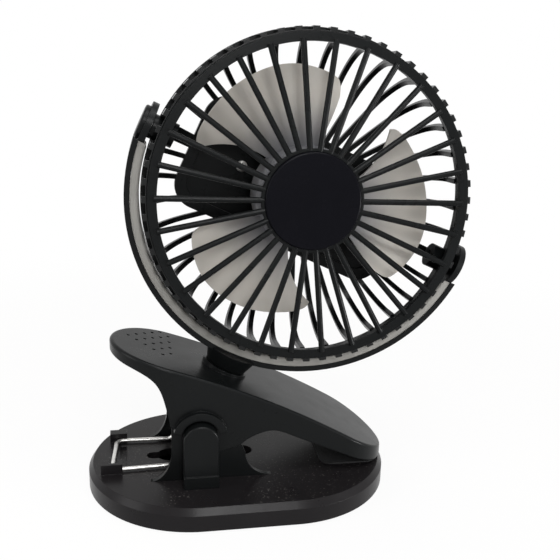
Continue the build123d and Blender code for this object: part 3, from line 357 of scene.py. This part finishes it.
def blend_colours(nodes, factor, first, second, mode="MIX"):
    """Mix of two colours, each a socket or a tuple."""
    node = nodes.add("ShaderNodeMix", data_type="RGBA", blend_type=mode)
    pairs = ((node.inputs[0], factor), (node.inputs[6], first), (node.inputs[7], second))
    for socket, value in pairs:
        if isinstance(value, (int, float)):
            socket.default_value = value
        elif isinstance(value, (tuple, list)):
            socket.default_value = (*value[:3], 1.0)
        else:
            nodes.link(value, socket)
    return node.outputs[2]


def noise(nodes, place, size, detail=2.0, rough=0.5):
    """Noise texture whose lumps are about size metres across."""
    node = nodes.add("ShaderNodeTexNoise", Scale=1.0 / size, Detail=detail, Roughness=rough)
    nodes.link(place, node.inputs["Vector"])
    return node.outputs["Fac"]


def soft_step(nodes, value, low, high, first, last):
    """Smooth change of a value from first to last as it goes from low to high."""
    step = nodes.add("ShaderNodeMapRange", interpolation_type="SMOOTHSTEP")
    ends = (("From Min", low), ("From Max", high), ("To Min", first), ("To Max", last))
    for name, number in ends:
        step.inputs[name].default_value = number
    nodes.link(value, step.inputs["Value"])
    return step.outputs["Result"]


def seen_rays(nodes):
    """One for camera, glossy and transmission rays, which all see the white background."""
    path = nodes.add("ShaderNodeLightPath")
    seen = maths(
        nodes, "MAXIMUM", path.outputs["Is Camera Ray"], path.outputs["Is Glossy Ray"]
    )
    return maths(nodes, "MAXIMUM", seen, path.outputs["Is Transmission Ray"])


def shade(colour, factor):
    """Colour made lighter or darker."""
    return tuple(min(1.0, c * factor) for c in colour)


# ---------------------------------------------------------------- materials
def moulded_plastic(name, colour, roughness, dust=0.0, grain=1.0, edge=1.0, specular=0.12):
    """Satin moulded plastic: fine grain, uneven gloss, worn edges, specks on top."""
    finish = bpy.context.scene.clip_fan_finish
    material = bpy.data.materials.new(name)
    nodes = Nodes(material)
    place = nodes.add("ShaderNodeTexCoord").outputs["Object"]
    geometry = nodes.add("ShaderNodeNewGeometry")
    shader = nodes.add("ShaderNodeBsdfPrincipled", Specular_IOR_Level=specular)
    output = nodes.add("ShaderNodeOutputMaterial")

    # colour: slow drift, faint rubbed edges, dust specks where the face looks up
    drift = ramp(nodes, noise(nodes, place, 0.03), [(0.35, 0.0), (0.7, 1.0)])
    base = blend_colours(nodes, drift, shade(colour, 0.92), shade(colour, 1.10))
    rounded = nodes.add("ShaderNodeBevel", samples=4)
    rounded.inputs["Radius"].default_value = finish.edge_radius * edge
    facing = nodes.add("ShaderNodeVectorMath", operation="DOT_PRODUCT")
    nodes.link(rounded.outputs["Normal"], facing.inputs[0])
    nodes.link(geometry.outputs["True Normal"], facing.inputs[1])
    worn = ramp(nodes, facing.outputs["Value"], [(0.80, 1.0), (0.995, 0.0)])
    patches = ramp(nodes, noise(nodes, place, 0.004, 4.0), [(0.45, 0.0), (0.62, 1.0)])
    rubbed = maths(nodes, "MULTIPLY", worn, patches)
    rubbed = maths(nodes, "MULTIPLY", rubbed, 0.35)
    base = blend_colours(nodes, rubbed, base, shade(colour, 2.2))
    if dust > 0.0:
        specks = ramp(nodes, noise(nodes, place, 0.0009, 2.0, 0.6), [(0.64, 0.0), (0.69, 1.0)])
        cluster = ramp(nodes, noise(nodes, place, 0.02, 3.0), [(0.42, 0.0), (0.60, 1.0)])
        split = nodes.add("ShaderNodeSeparateXYZ")
        nodes.link(geometry.outputs["True Normal"], split.inputs[0])
        upward = ramp(nodes, split.outputs["Z"], [(0.55, 0.0), (0.95, 1.0)])
        mask = maths(nodes, "MULTIPLY", specks, cluster)
        mask = maths(nodes, "MULTIPLY", mask, upward)
        mask = maths(nodes, "MULTIPLY", mask, dust * finish.dust)
        base = blend_colours(nodes, mask, base, (0.20, 0.19, 0.18))
    nodes.link(base, shader.inputs["Base Color"])

    # gloss: handled patches are a little shinier
    smears = noise(nodes, place, 0.012, 5.0, 0.6)
    uneven = nodes.add("ShaderNodeMapRange")
    uneven.inputs["From Min"].default_value = 0.3
    uneven.inputs["From Max"].default_value = 0.7
    uneven.inputs["To Min"].default_value = roughness * 0.88
    uneven.inputs["To Max"].default_value = roughness * 1.12
    nodes.link(smears, uneven.inputs["Value"])
    nodes.link(uneven.outputs["Result"], shader.inputs["Roughness"])

    # relief: fine spark grain over the rounded edges
    bump = nodes.add("ShaderNodeBump", Strength=0.6)
    bump.inputs["Distance"].default_value = finish.grain_depth * grain
    nodes.link(noise(nodes, place, finish.grain, 3.0, 0.65), bump.inputs["Height"])
    nodes.link(rounded.outputs["Normal"], bump.inputs["Normal"])
    nodes.link(bump.outputs["Normal"], shader.inputs["Normal"])
    nodes.link(shader.outputs["BSDF"], output.inputs["Surface"])
    return material


def drawn_metal(name, colour, roughness, streak):
    """Steel with fine drawing lines along its length and small dull patches."""
    material = bpy.data.materials.new(name)
    nodes = Nodes(material)
    place = nodes.add("ShaderNodeTexCoord").outputs["Object"]
    stretch = nodes.add("ShaderNodeMapping")
    stretch.inputs["Scale"].default_value = streak
    nodes.link(place, stretch.inputs["Vector"])
    shader = nodes.add("ShaderNodeBsdfPrincipled", Metallic=1.0)
    output = nodes.add("ShaderNodeOutputMaterial")
    lines = noise(nodes, stretch.outputs["Vector"], 0.0008, 4.0, 0.6)
    tarnish = ramp(nodes, noise(nodes, place, 0.006, 3.0), [(0.4, 0.0), (0.75, 1.0)])
    base = blend_colours(nodes, tarnish, colour, shade(colour, 0.78))
    nodes.link(base, shader.inputs["Base Color"])
    uneven = nodes.add("ShaderNodeMapRange")
    uneven.inputs["To Min"].default_value = roughness * 0.7
    uneven.inputs["To Max"].default_value = roughness * 1.4
    nodes.link(lines, uneven.inputs["Value"])
    nodes.link(uneven.outputs["Result"], shader.inputs["Roughness"])
    bump = nodes.add("ShaderNodeBump", Strength=0.3)
    bump.inputs["Distance"].default_value = 0.00001
    nodes.link(lines, bump.inputs["Height"])
    nodes.link(bump.outputs["Normal"], shader.inputs["Normal"])
    nodes.link(shader.outputs["BSDF"], output.inputs["Surface"])
    return material


def soft_rubber(name, colour):
    """Matt rubber with pores, a dusty bloom and ribs too fine to model."""
    material = bpy.data.materials.new(name)
    nodes = Nodes(material)
    place = nodes.add("ShaderNodeTexCoord").outputs["Object"]
    shader = nodes.add("ShaderNodeBsdfPrincipled", Roughness=0.78, Specular_IOR_Level=0.3)
    output = nodes.add("ShaderNodeOutputMaterial")
    bloom = ramp(nodes, noise(nodes, place, 0.008, 5.0, 0.6), [(0.4, 0.0), (0.75, 1.0)])
    base = blend_colours(nodes, bloom, colour, shade(colour, 1.7))
    pores = noise(nodes, place, 0.0004, 2.0)
    pits = ramp(nodes, pores, [(0.3, 0.5), (0.5, 0.0)])
    base = blend_colours(nodes, pits, base, shade(colour, 0.4))
    nodes.link(base, shader.inputs["Base Color"])
    ribs = nodes.add("ShaderNodeTexWave", wave_type="BANDS", bands_direction="X", Scale=110.0)
    nodes.link(place, ribs.inputs["Vector"])
    relief = maths(nodes, "ADD", maths(nodes, "MULTIPLY", pores, 0.3), ribs.outputs["Fac"])
    bump = nodes.add("ShaderNodeBump", Strength=0.5)
    bump.inputs["Distance"].default_value = 0.00015
    nodes.link(relief, bump.inputs["Height"])
    nodes.link(bump.outputs["Normal"], shader.inputs["Normal"])
    nodes.link(shader.outputs["BSDF"], output.inputs["Surface"])
    return material


def blade_plastic(name, colour):
    """Thin light plastic of the rotor: painted shade and a bluish painted reflection of the cap
    near its root, with flow lines and grime.
    """
    material = bpy.data.materials.new(name)
    nodes = Nodes(material)
    place = nodes.add("ShaderNodeTexCoord").outputs["Object"]
    shader = nodes.add(
        "ShaderNodeBsdfPrincipled",
        Subsurface_Weight=0.25,
        Subsurface_Scale=0.002,
        Specular_IOR_Level=0.4,
    )
    shader.inputs["Subsurface Radius"].default_value = (1.0, 0.9, 0.8)
    output = nodes.add("ShaderNodeOutputMaterial")
    # painted shade and bluish painted reflection of the cap: darkest at the hub, gone past the
    # full-colour distance
    from_axis = nodes.add("ShaderNodeVectorMath", operation="DISTANCE")
    nodes.link(place, from_axis.inputs[0])
    from_axis.inputs[1].default_value = HEAD.translation
    painted_shade_fade = nodes.add("ShaderNodeMapRange", interpolation_type="SMOOTHSTEP")
    painted_shade_fade.inputs["From Min"].default_value = BLADE_ROOT
    painted_shade_fade.inputs["From Max"].default_value = BLADE_FULL_COLOUR
    nodes.link(from_axis.outputs["Value"], painted_shade_fade.inputs["Value"])
    flow = noise(nodes, place, 0.02, 4.0, 0.55)
    base = blend_colours(
        nodes,
        ramp(nodes, flow, [(0.35, 0.0), (0.7, 1.0)]),
        shade(colour, 0.93),
        shade(colour, 1.05),
    )
    hub_painted_shade = tuple(part * factor for part, factor in zip(colour, BLADE_ROOT_PAINTED_SHADE))
    base = blend_colours(nodes, painted_shade_fade.outputs["Result"], hub_painted_shade, base)
    grime = ramp(nodes, noise(nodes, place, 0.0012, 3.0, 0.7), [(0.68, 0.0), (0.78, 1.0)])
    base = blend_colours(nodes, maths(nodes, "MULTIPLY", grime, 0.25), base, shade(colour, 0.6))
    nodes.link(base, shader.inputs["Base Color"])
    uneven = nodes.add("ShaderNodeMapRange")
    uneven.inputs["To Min"].default_value = 0.36
    uneven.inputs["To Max"].default_value = 0.52
    nodes.link(flow, uneven.inputs["Value"])
    nodes.link(uneven.outputs["Result"], shader.inputs["Roughness"])
    bump = nodes.add("ShaderNodeBump", Strength=0.3)
    bump.inputs["Distance"].default_value = 0.00002
    nodes.link(noise(nodes, place, 0.0006, 3.0), bump.inputs["Height"])
    nodes.link(bump.outputs["Normal"], shader.inputs["Normal"])
    nodes.link(shader.outputs["BSDF"], output.inputs["Surface"])
    return material


def printed_board(name):
    """Green circuit board with copper tracks under the lacquer."""
    material = bpy.data.materials.new(name)
    nodes = Nodes(material)
    place = nodes.add("ShaderNodeTexCoord").outputs["Object"]
    shader = nodes.add("ShaderNodeBsdfPrincipled", Roughness=0.3)
    output = nodes.add("ShaderNodeOutputMaterial")
    cells = nodes.add("ShaderNodeTexVoronoi", feature="DISTANCE_TO_EDGE", Scale=260.0)
    nodes.link(place, cells.inputs["Vector"])
    tracks = ramp(nodes, cells.outputs["Distance"], [(0.05, 1.0), (0.09, 0.0)])
    base = blend_colours(nodes, tracks, (0.01, 0.07, 0.03), (0.03, 0.16, 0.06))
    nodes.link(base, shader.inputs["Base Color"])
    bump = nodes.add("ShaderNodeBump", Strength=0.4)
    bump.inputs["Distance"].default_value = 0.00003
    nodes.link(tracks, bump.inputs["Height"])
    nodes.link(bump.outputs["Normal"], shader.inputs["Normal"])
    nodes.link(shader.outputs["BSDF"], output.inputs["Surface"])
    return material


def paint(material, *names):
    """Give CAD nodes one finish."""
    for name in names:
        mesh = frame["nodes"][name].data
        mesh.materials.clear()
        mesh.materials.append(material)


# ---------------------------------------------------------------- mesh helpers
def new_piece(name, mesh_builder, material, body, matrix=None):
    """Turn a filled bmesh into an object that rides on a body."""
    mesh = bpy.data.meshes.new(name)
    bmesh.ops.recalc_face_normals(mesh_builder, faces=mesh_builder.faces)
    mesh_builder.to_mesh(mesh)
    mesh_builder.free()
    if matrix is not None:
        mesh.transform(matrix)
    mesh.materials.append(material)
    piece = bpy.data.objects.new(name, mesh)
    bpy.context.scene.collection.objects.link(piece)
    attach(piece, body)
    return piece


def smooth(piece, angle=math.radians(35)):
    """Smooth shading with sharp edges kept."""
    piece.data.shade_smooth()
    piece.data.set_sharp_from_angle(angle=angle)


def lathe(profile, steps=40):
    """Solid of revolution about z from (radius, z) points that start and end on the axis."""
    builder = bmesh.new()
    rings = []
    for radius, height in profile:
        if radius < 1e-9:
            rings.append([builder.verts.new((0, 0, height))])
            continue
        ring = []
        for step in range(steps):
            turn = 2 * math.pi * step / steps
            across, along = radius * math.cos(turn), radius * math.sin(turn)
            ring.append(builder.verts.new((across, along, height)))
        rings.append(ring)
    for low, high in zip(rings, rings[1:]):
        for step in range(steps):
            follow = (step + 1) % steps
            corners = [low[step % len(low)], low[follow % len(low)],
                       high[follow % len(high)], high[step % len(high)]]
            unique = list(dict.fromkeys(corners))
            if len(unique) > 2:
                builder.faces.new(unique)
    return builder


def cut_cross(piece, width, length, depth, top, matrix):
    """Cut a cross recess with tapered walls into a screw's head."""
    cutter = bmesh.new()
    for turn in (0.0, math.pi / 2):
        block = bmesh.ops.create_cube(cutter, size=1.0)["verts"]
        for vert in block:
            taper = 1.0 if vert.co.z > 0 else 0.45
            x = vert.co.x * length * taper
            y = vert.co.y * width * (1.0 if vert.co.z > 0 else 0.8)
            z = top + (vert.co.z - 0.5) * depth + 0.1 * depth
            vert.co = Vector((x * math.cos(turn) - y * math.sin(turn),
                              x * math.sin(turn) + y * math.cos(turn), z))
    mesh = bpy.data.meshes.new("cross_cutter")
    cutter.to_mesh(mesh)
    cutter.free()
    mesh.transform(matrix)
    tool = bpy.data.objects.new("cross_cutter", mesh)
    bpy.context.scene.collection.objects.link(tool)
    modifier = piece.modifiers.new("cross", "BOOLEAN")
    modifier.operation = "DIFFERENCE"
    modifier.solver = "EXACT"
    modifier.use_self = True
    modifier.object = tool
    bpy.context.view_layer.update()
    depsgraph = bpy.context.evaluated_depsgraph_get()
    cut = bpy.data.meshes.new_from_object(piece.evaluated_get(depsgraph))
    piece.modifiers.clear()
    cut.name = piece.name
    piece.data = cut
    bpy.data.objects.remove(tool)


def screw(name, place, axis, head_radius, head_height, shank_radius, shank, body, material):
    """Pan-head screw with a cross recess; place is the underside of its head."""
    turn = Vector((0, 0, 1)).rotation_difference(axis).to_matrix().to_4x4()
    matrix = Matrix.Translation(place) @ turn
    profile = [(0.0, -shank), (shank_radius * 0.6, -shank), (shank_radius, -shank + 0.4 * MM)]
    profile += [(shank_radius, 0.0), (head_radius, 0.0), (head_radius, head_height * 0.35)]
    for step in range(1, 7):
        part = step / 6 * math.pi / 2
        profile.append((head_radius * (0.35 + 0.65 * math.cos(part)),
                        head_height * (0.35 + 0.65 * math.sin(part))))
    profile.append((0.0, head_height))
    piece = new_piece(name, lathe(profile), material, body, matrix)
    cut_cross(piece, head_radius * 0.3, head_radius * 1.25, head_height * 0.6, head_height, matrix)
    smooth(piece)
    return piece


def tube(name, points, radius, material, body):
    """Thin insulated wire along a smooth line of points."""
    curve = bpy.data.curves.new(name, "CURVE")
    curve.dimensions = "3D"
    curve.bevel_depth = radius
    curve.bevel_resolution = 4
    curve.resolution_u = 10
    curve.use_fill_caps = True
    spline = curve.splines.new("NURBS")
    spline.points.add(len(points) - 1)
    for control, point in zip(spline.points, points):
        control.co = (*point, 1.0)
    spline.order_u = 3
    spline.use_endpoint_u = True
    curve.materials.append(material)
    piece = bpy.data.objects.new(name, curve)
    bpy.context.scene.collection.objects.link(piece)
    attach(piece, body)
    return piece


# ---------------------------------------------------------------- operators
class CLIPFAN_OT_base(bpy.types.Operator):
    """Finish the base, the hinge bracket, the pivot covers and the spring"""

    bl_idname = "clipfan.base"
    bl_label = "Base"

    def execute(self, context):
        colours = context.scene.clip_fan_colours
        plate = moulded_plastic("base_plastic", tuple(colours.plate), 0.30, dust=1.0)
        paint(plate, "base_plate")
        paint(moulded_plastic("bracket_plastic", tuple(colours.black), 0.32), "hinge_bracket",
              "pivot_cover_front", "pivot_cover_back", "bottom_cover")
        paint(soft_rubber("pad_rubber", tuple(colours.rubber)), "base_pad", "grip_mat")
        steel = drawn_metal("spring_wire", tuple(colours.steel), 0.38, (1.0, 0.2, 1.0))
        paint(steel, "torsion_spring", "spring_arms")
        paint(drawn_metal("pin_steel", tuple(colours.steel), 0.3, (1.0, 0.1, 1.0)), "pivot_pin")
        return {"FINISHED"}


class CLIPFAN_OT_jaw(bpy.types.Operator):
    """Finish the upper jaw and its pad"""

    bl_idname = "clipfan.jaw"
    bl_label = "Upper jaw"

    def execute(self, context):
        colours = context.scene.clip_fan_colours
        paint(moulded_plastic("jaw_plastic", tuple(colours.black), 0.30, dust=0.4), "jaw_shell")
        paint(soft_rubber("jaw_rubber", tuple(colours.rubber)), "jaw_pad")
        return {"FINISHED"}


class CLIPFAN_OT_yoke(bpy.types.Operator):
    """Finish the yoke, its light inlay, the end caps and the neck"""

    bl_idname = "clipfan.yoke"
    bl_label = "Yoke"

    def execute(self, context):
        colours = context.scene.clip_fan_colours
        paint(moulded_plastic("yoke_plastic", tuple(colours.black), 0.34), "yoke_arm",
              "pivot_cap_left", "pivot_cap_right")
        paint(moulded_plastic("inlay_plastic", tuple(colours.inlay), 0.4, edge=0.6), "yoke_inlay")
        steel = drawn_metal("neck_steel", tuple(colours.steel), 0.3, (1.0, 1.0, 0.3))
        paint(steel, "tilt_pins", "swivel_washer", "swivel_screw")
        return {"FINISHED"}


class CLIPFAN_OT_head(bpy.types.Operator):
    """Finish the cage, the front cap, the rear cover and what is inside it"""

    bl_idname = "clipfan.head"
    bl_label = "Head"

    def execute(self, context):
        colours = context.scene.clip_fan_colours
        black = tuple(colours.black)
        cage = moulded_plastic("cage_plastic", black, 0.28, specular=0.10)
        paint(cage, "front_grille", "back_grille")
        grip = moulded_plastic("grip_plastic", black, 0.20, grain=0.5, specular=0.25)
        paint(grip, "grip_ring")
        cover = moulded_plastic("cover_plastic", black, 0.28, dust=0.2, specular=0.06)
        paint(cover, "rear_cover")
        cap = moulded_plastic("cap_plastic", tuple(colours.cap), 0.26, grain=0.3, specular=0.06)
        paint(cap, "front_cap")
        paint(moulded_plastic("button_plastic", shade(black, 2.5), 0.45), "power_button")
        can = drawn_metal("motor_steel", shade(tuple(colours.steel), 0.8), 0.35, (1.0, 0.1, 1.0))
        paint(can, "motor")
        paint(moulded_plastic("battery_wrap", (0.05, 0.12, 0.25), 0.3), "battery")
        paint(printed_board("board_green"), "circuit_board")
        socket = drawn_metal("socket_steel", tuple(colours.steel), 0.2, (1.0, 1.0, 1.0))
        paint(socket, "usb_socket")
        screws = drawn_metal("tray_screw_steel", tuple(colours.steel), 0.3, (1.0, 1.0, 1.0))
        paint(screws, "tray_screws")
        return {"FINISHED"}


class CLIPFAN_OT_rotor(bpy.types.Operator):
    """Finish the rotor and its shaft"""

    bl_idname = "clipfan.rotor"
    bl_label = "Rotor"

    def execute(self, context):
        colours = context.scene.clip_fan_colours
        paint(blade_plastic("rotor_plastic", tuple(colours.blade)), "rotor")
        shaft = drawn_metal("shaft_steel", tuple(colours.steel), 0.2, (1.0, 1.0, 1.0))
        paint(shaft, "motor_shaft")
        return {"FINISHED"}


class CLIPFAN_OT_screws(bpy.types.Operator):
    """Screws with cross recesses in the tray of the cage and under the base"""

    bl_idname = "clipfan.screws"
    bl_label = "Screws"

    def execute(self, context):
        colours = context.scene.clip_fan_colours
        grey = shade(tuple(colours.steel), 0.75)
        steel = drawn_metal("screw_steel", grey, 0.32, (1.0, 1.0, 1.0))
        front = axis_of("rotor_spin")
        low, high = in_head("tray_screws")
        head_radius = (high.y - low.y) / 2
        for side, name in ((low.x + head_radius, "left"), (high.x - head_radius, "right")):
            place = HEAD @ Vector((side, (low.y + high.y) / 2, high.z - TRAY_HEAD_HEIGHT))
            screw(f"tray_screw_{name}", place, front, head_radius,
                                TRAY_HEAD_HEIGHT, SHANK_RADIUS, TRAY_SHANK, "head", steel)
        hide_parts("tray_screws")
        low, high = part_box("base_screws")
        first = None
        for x in (low.x + BASE_HEAD_RADIUS, high.x - BASE_HEAD_RADIUS):
            for y in (low.y + BASE_HEAD_RADIUS, high.y - BASE_HEAD_RADIUS):
                name = f"base_screw_{'left' if x < 0 else 'right'}_{'front' if y < 0 else 'back'}"
                place = Vector((x, y, low.z + BASE_HEAD_HEIGHT))
                piece = screw(name, place, Vector((0, 0, -1)), BASE_HEAD_RADIUS,
                              BASE_HEAD_HEIGHT, SHANK_RADIUS, BASE_SHANK, "base", steel)
                first = first or piece
        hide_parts("base_screws")
        return {"FINISHED"}


class CLIPFAN_OT_leads(bpy.types.Operator):
    """Two thin leads from the motor into the tray"""

    bl_idname = "clipfan.leads"
    bl_label = "Motor leads"

    def execute(self, context):
        low, high = in_head("motor")
        floor = low.z
        radius = (high.x - low.x) / 2
        for side, name, colour in LEAD_COLOURS:
            finish = moulded_plastic(f"lead_{name}", colour, 0.35, grain=0.2)
            offset = side * 0.7 * MM
            points = [
                HEAD @ Vector((side * 2.5 * MM, -radius + 0.3 * MM, floor + 6.0 * MM)),
                HEAD @ Vector((side * 2.4 * MM, -radius - 1.6 * MM, floor + 5.4 * MM)),
                HEAD @ Vector((side * 1.4 * MM, LEAD_HOLE_Y - 0.2 * MM, floor + 3.4 * MM)),
                HEAD @ Vector((offset, LEAD_HOLE_Y, floor + 1.2 * MM)),
                HEAD @ Vector((offset, LEAD_HOLE_Y, floor - 2.0 * MM)),
            ]
            tube(f"motor_lead_{name}", points, LEAD_RADIUS, finish, "head")
        return {"FINISHED"}


class CLIPFAN_OT_stage(bpy.types.Operator):
    """Camera, floor and soft studio light"""

    bl_idname = "clipfan.stage"
    bl_label = "Stage"

    def execute(self, context):
        stage = context.scene.clip_fan_stage
        self.camera(context, stage)
        self.floor(context, stage)
        self.world(context, stage)
        for name, place, aim, width, height, setting in LAMPS:
            self.lamp(name, place, aim, width, height, getattr(stage, setting))
        context.scene.view_settings.view_transform = "Standard"
        return {"FINISHED"}

    def camera(self, context, stage):
        """Camera at the photograph's place."""
        a, e, roll = stage.azimuth, stage.elevation, stage.roll
        back = Vector((math.sin(a) * math.cos(e), -math.cos(a) * math.cos(e), math.sin(e)))
        level = Vector((math.cos(a), math.sin(a), 0.0))
        over = back.cross(level)
        right = math.cos(roll) * level + math.sin(roll) * over
        up = -math.sin(roll) * level + math.cos(roll) * over
        matrix = Matrix((right, up, back)).transposed().to_4x4()
        matrix.translation = Vector(stage.camera_place)
        data = bpy.data.cameras.new("camera")
        data.sensor_fit = "HORIZONTAL"
        data.sensor_width = 36.0
        data.lens = stage.lens
        data.clip_start = 0.01
        data.clip_end = 20.0
        camera = bpy.data.objects.new("camera", data)
        camera.matrix_world = matrix
        context.scene.collection.objects.link(camera)
        context.scene.camera = camera

    def floor(self, context, stage):
        """Pale floor that shows nearly white and keeps a soft shadow."""
        builder = bmesh.new()
        corners = [builder.verts.new((x * FLOOR_HALF, y * FLOOR_HALF, 0.0))
                   for x, y in ((-1, -1), (1, -1), (1, 1), (-1, 1))]
        builder.faces.new(corners)
        mesh = bpy.data.meshes.new("floor")
        builder.to_mesh(mesh)
        builder.free()
        material = bpy.data.materials.new("floor_pale")
        nodes = Nodes(material)
        direct = seen_rays(nodes)
        matt = nodes.add("ShaderNodeBsdfDiffuse")
        matt.inputs["Color"].default_value = FLOOR_GREY
        glow = nodes.add("ShaderNodeEmission", Strength=1.0)
        place = nodes.add("ShaderNodeNewGeometry").outputs["Position"]
        # the glow takes over completely away from the fan, so that no horizon shows
        distance = nodes.add("ShaderNodeVectorMath", operation="LENGTH")
        nodes.link(place, distance.inputs[0])
        share = soft_step(nodes, distance.outputs["Value"], GLOW_NEAR, GLOW_FAR,
                          GLOW_NEAR_SHARE, GLOW_FAR_SHARE)
        part = maths(nodes, "MULTIPLY", direct, share)
        mix = nodes.add("ShaderNodeMixShader")
        nodes.link(part, mix.inputs[0])
        nodes.link(matt.outputs[0], mix.inputs[1])
        nodes.link(glow.outputs[0], mix.inputs[2])
        output = nodes.add("ShaderNodeOutputMaterial")
        nodes.link(mix.outputs[0], output.inputs["Surface"])
        mesh.materials.append(material)
        floor = bpy.data.objects.new("floor", mesh)
        context.scene.collection.objects.link(floor)

    def world(self, context, stage):
        """Soft light on matt surfaces, and a white background for every ray that is seen."""
        world = bpy.data.worlds.new("studio")
        context.scene.world = world
        nodes = Nodes(world)
        split = nodes.add("ShaderNodeSeparateXYZ")
        nodes.link(nodes.add("ShaderNodeTexCoord").outputs["Generated"], split.inputs[0])
        above = soft_step(nodes, split.outputs["Z"], 0.12, 0.5, 0.0, 1.3)
        behind = soft_step(nodes, split.outputs["Y"], -0.3, 0.5, 0.2, 1.0)
        leftward = soft_step(nodes, split.outputs["X"], -0.15, 0.25, 1.0, 0.12)
        sky = maths(nodes, "MULTIPLY", maths(nodes, "MULTIPLY", above, behind), leftward)
        # a brighter strip low on the right behind the fan
        right = soft_step(nodes, split.outputs["X"], 0.33, 0.56, 0.0, 1.8)
        low = soft_step(nodes, split.outputs["Z"], 0.0, 0.25, 1.0, 0.0)
        rear = soft_step(nodes, split.outputs["Y"], 0.3, 0.6, 0.0, 1.0)
        strip = maths(nodes, "MULTIPLY", maths(nodes, "MULTIPLY", right, low), rear)
        level = maths(nodes, "ADD", maths(nodes, "MAXIMUM", sky, strip), SKY_LEAST)
        level = maths(nodes, "MULTIPLY", level, stage.ambient)
        soft = nodes.add("ShaderNodeBackground")
        white = nodes.add("ShaderNodeBackground", Strength=1.0)
        nodes.link(level, soft.inputs["Strength"])
        soft.inputs["Color"].default_value = SKY_TINT
        white.inputs["Color"].default_value = (1.0, 1.0, 1.0, 1.0)
        mix = nodes.add("ShaderNodeMixShader")
        nodes.link(seen_rays(nodes), mix.inputs[0])
        nodes.link(soft.outputs[0], mix.inputs[1])
        nodes.link(white.outputs[0], mix.inputs[2])
        output = nodes.add("ShaderNodeOutputWorld")
        nodes.link(mix.outputs[0], output.inputs["Surface"])

    def lamp(self, name, place, aim, width, height, power):
        """Rectangular soft lamp aimed at a point."""
        data = bpy.data.lights.new(name, "AREA")
        data.shape = "RECTANGLE"
        data.size = width
        data.size_y = height
        data.energy = power
        lamp = bpy.data.objects.new(name, data)
        lamp.location = place
        direction = Vector(aim) - Vector(place)
        lamp.rotation_mode = "QUATERNION"
        lamp.rotation_quaternion = direction.to_track_quat("-Z", "Y")
        bpy.context.scene.collection.objects.link(lamp)


class CLIPFAN_PT_panel(bpy.types.Panel):
    """Clip fan in the sidebar"""

    bl_idname = "CLIPFAN_PT_panel"
    bl_label = "Clip fan"
    bl_space_type = "VIEW_3D"
    bl_region_type = "UI"
    bl_category = "Clip fan"

    def draw(self, context):
        layout = self.layout
        for settings in (context.scene.clip_fan_colours, context.scene.clip_fan_finish,
                         context.scene.clip_fan_stage):
            box = layout.box()
            for name in settings.bl_rna.properties.keys():
                if name not in ("rna_type", "name"):
                    box.prop(settings, name)
        for piece in PIECES:
            layout.operator(piece.bl_idname)


PIECES = (CLIPFAN_OT_base, CLIPFAN_OT_jaw, CLIPFAN_OT_yoke, CLIPFAN_OT_head, CLIPFAN_OT_rotor,
          CLIPFAN_OT_screws, CLIPFAN_OT_leads, CLIPFAN_OT_stage)
SETTINGS = (ClipFanColours, ClipFanFinish, ClipFanStage)


def register():
    """Register the settings, operators and panel."""
    for kind in SETTINGS + PIECES + (CLIPFAN_PT_panel,):
        bpy.utils.register_class(kind)
    bpy.types.Scene.clip_fan_colours = bpy.props.PointerProperty(type=ClipFanColours)
    bpy.types.Scene.clip_fan_finish = bpy.props.PointerProperty(type=ClipFanFinish)
    bpy.types.Scene.clip_fan_stage = bpy.props.PointerProperty(type=ClipFanStage)


def unregister():
    """Remove what register added."""
    del bpy.types.Scene.clip_fan_stage
    del bpy.types.Scene.clip_fan_finish
    del bpy.types.Scene.clip_fan_colours
    for kind in reversed(SETTINGS + PIECES + (CLIPFAN_PT_panel,)):
        bpy.utils.unregister_class(kind)


def main():
    """Dress the fan."""
    register()
    for piece in PIECES:
        group, name = piece.bl_idname.split(".")
        getattr(getattr(bpy.ops, group), name)()


if __name__ == "__main__":
    main()
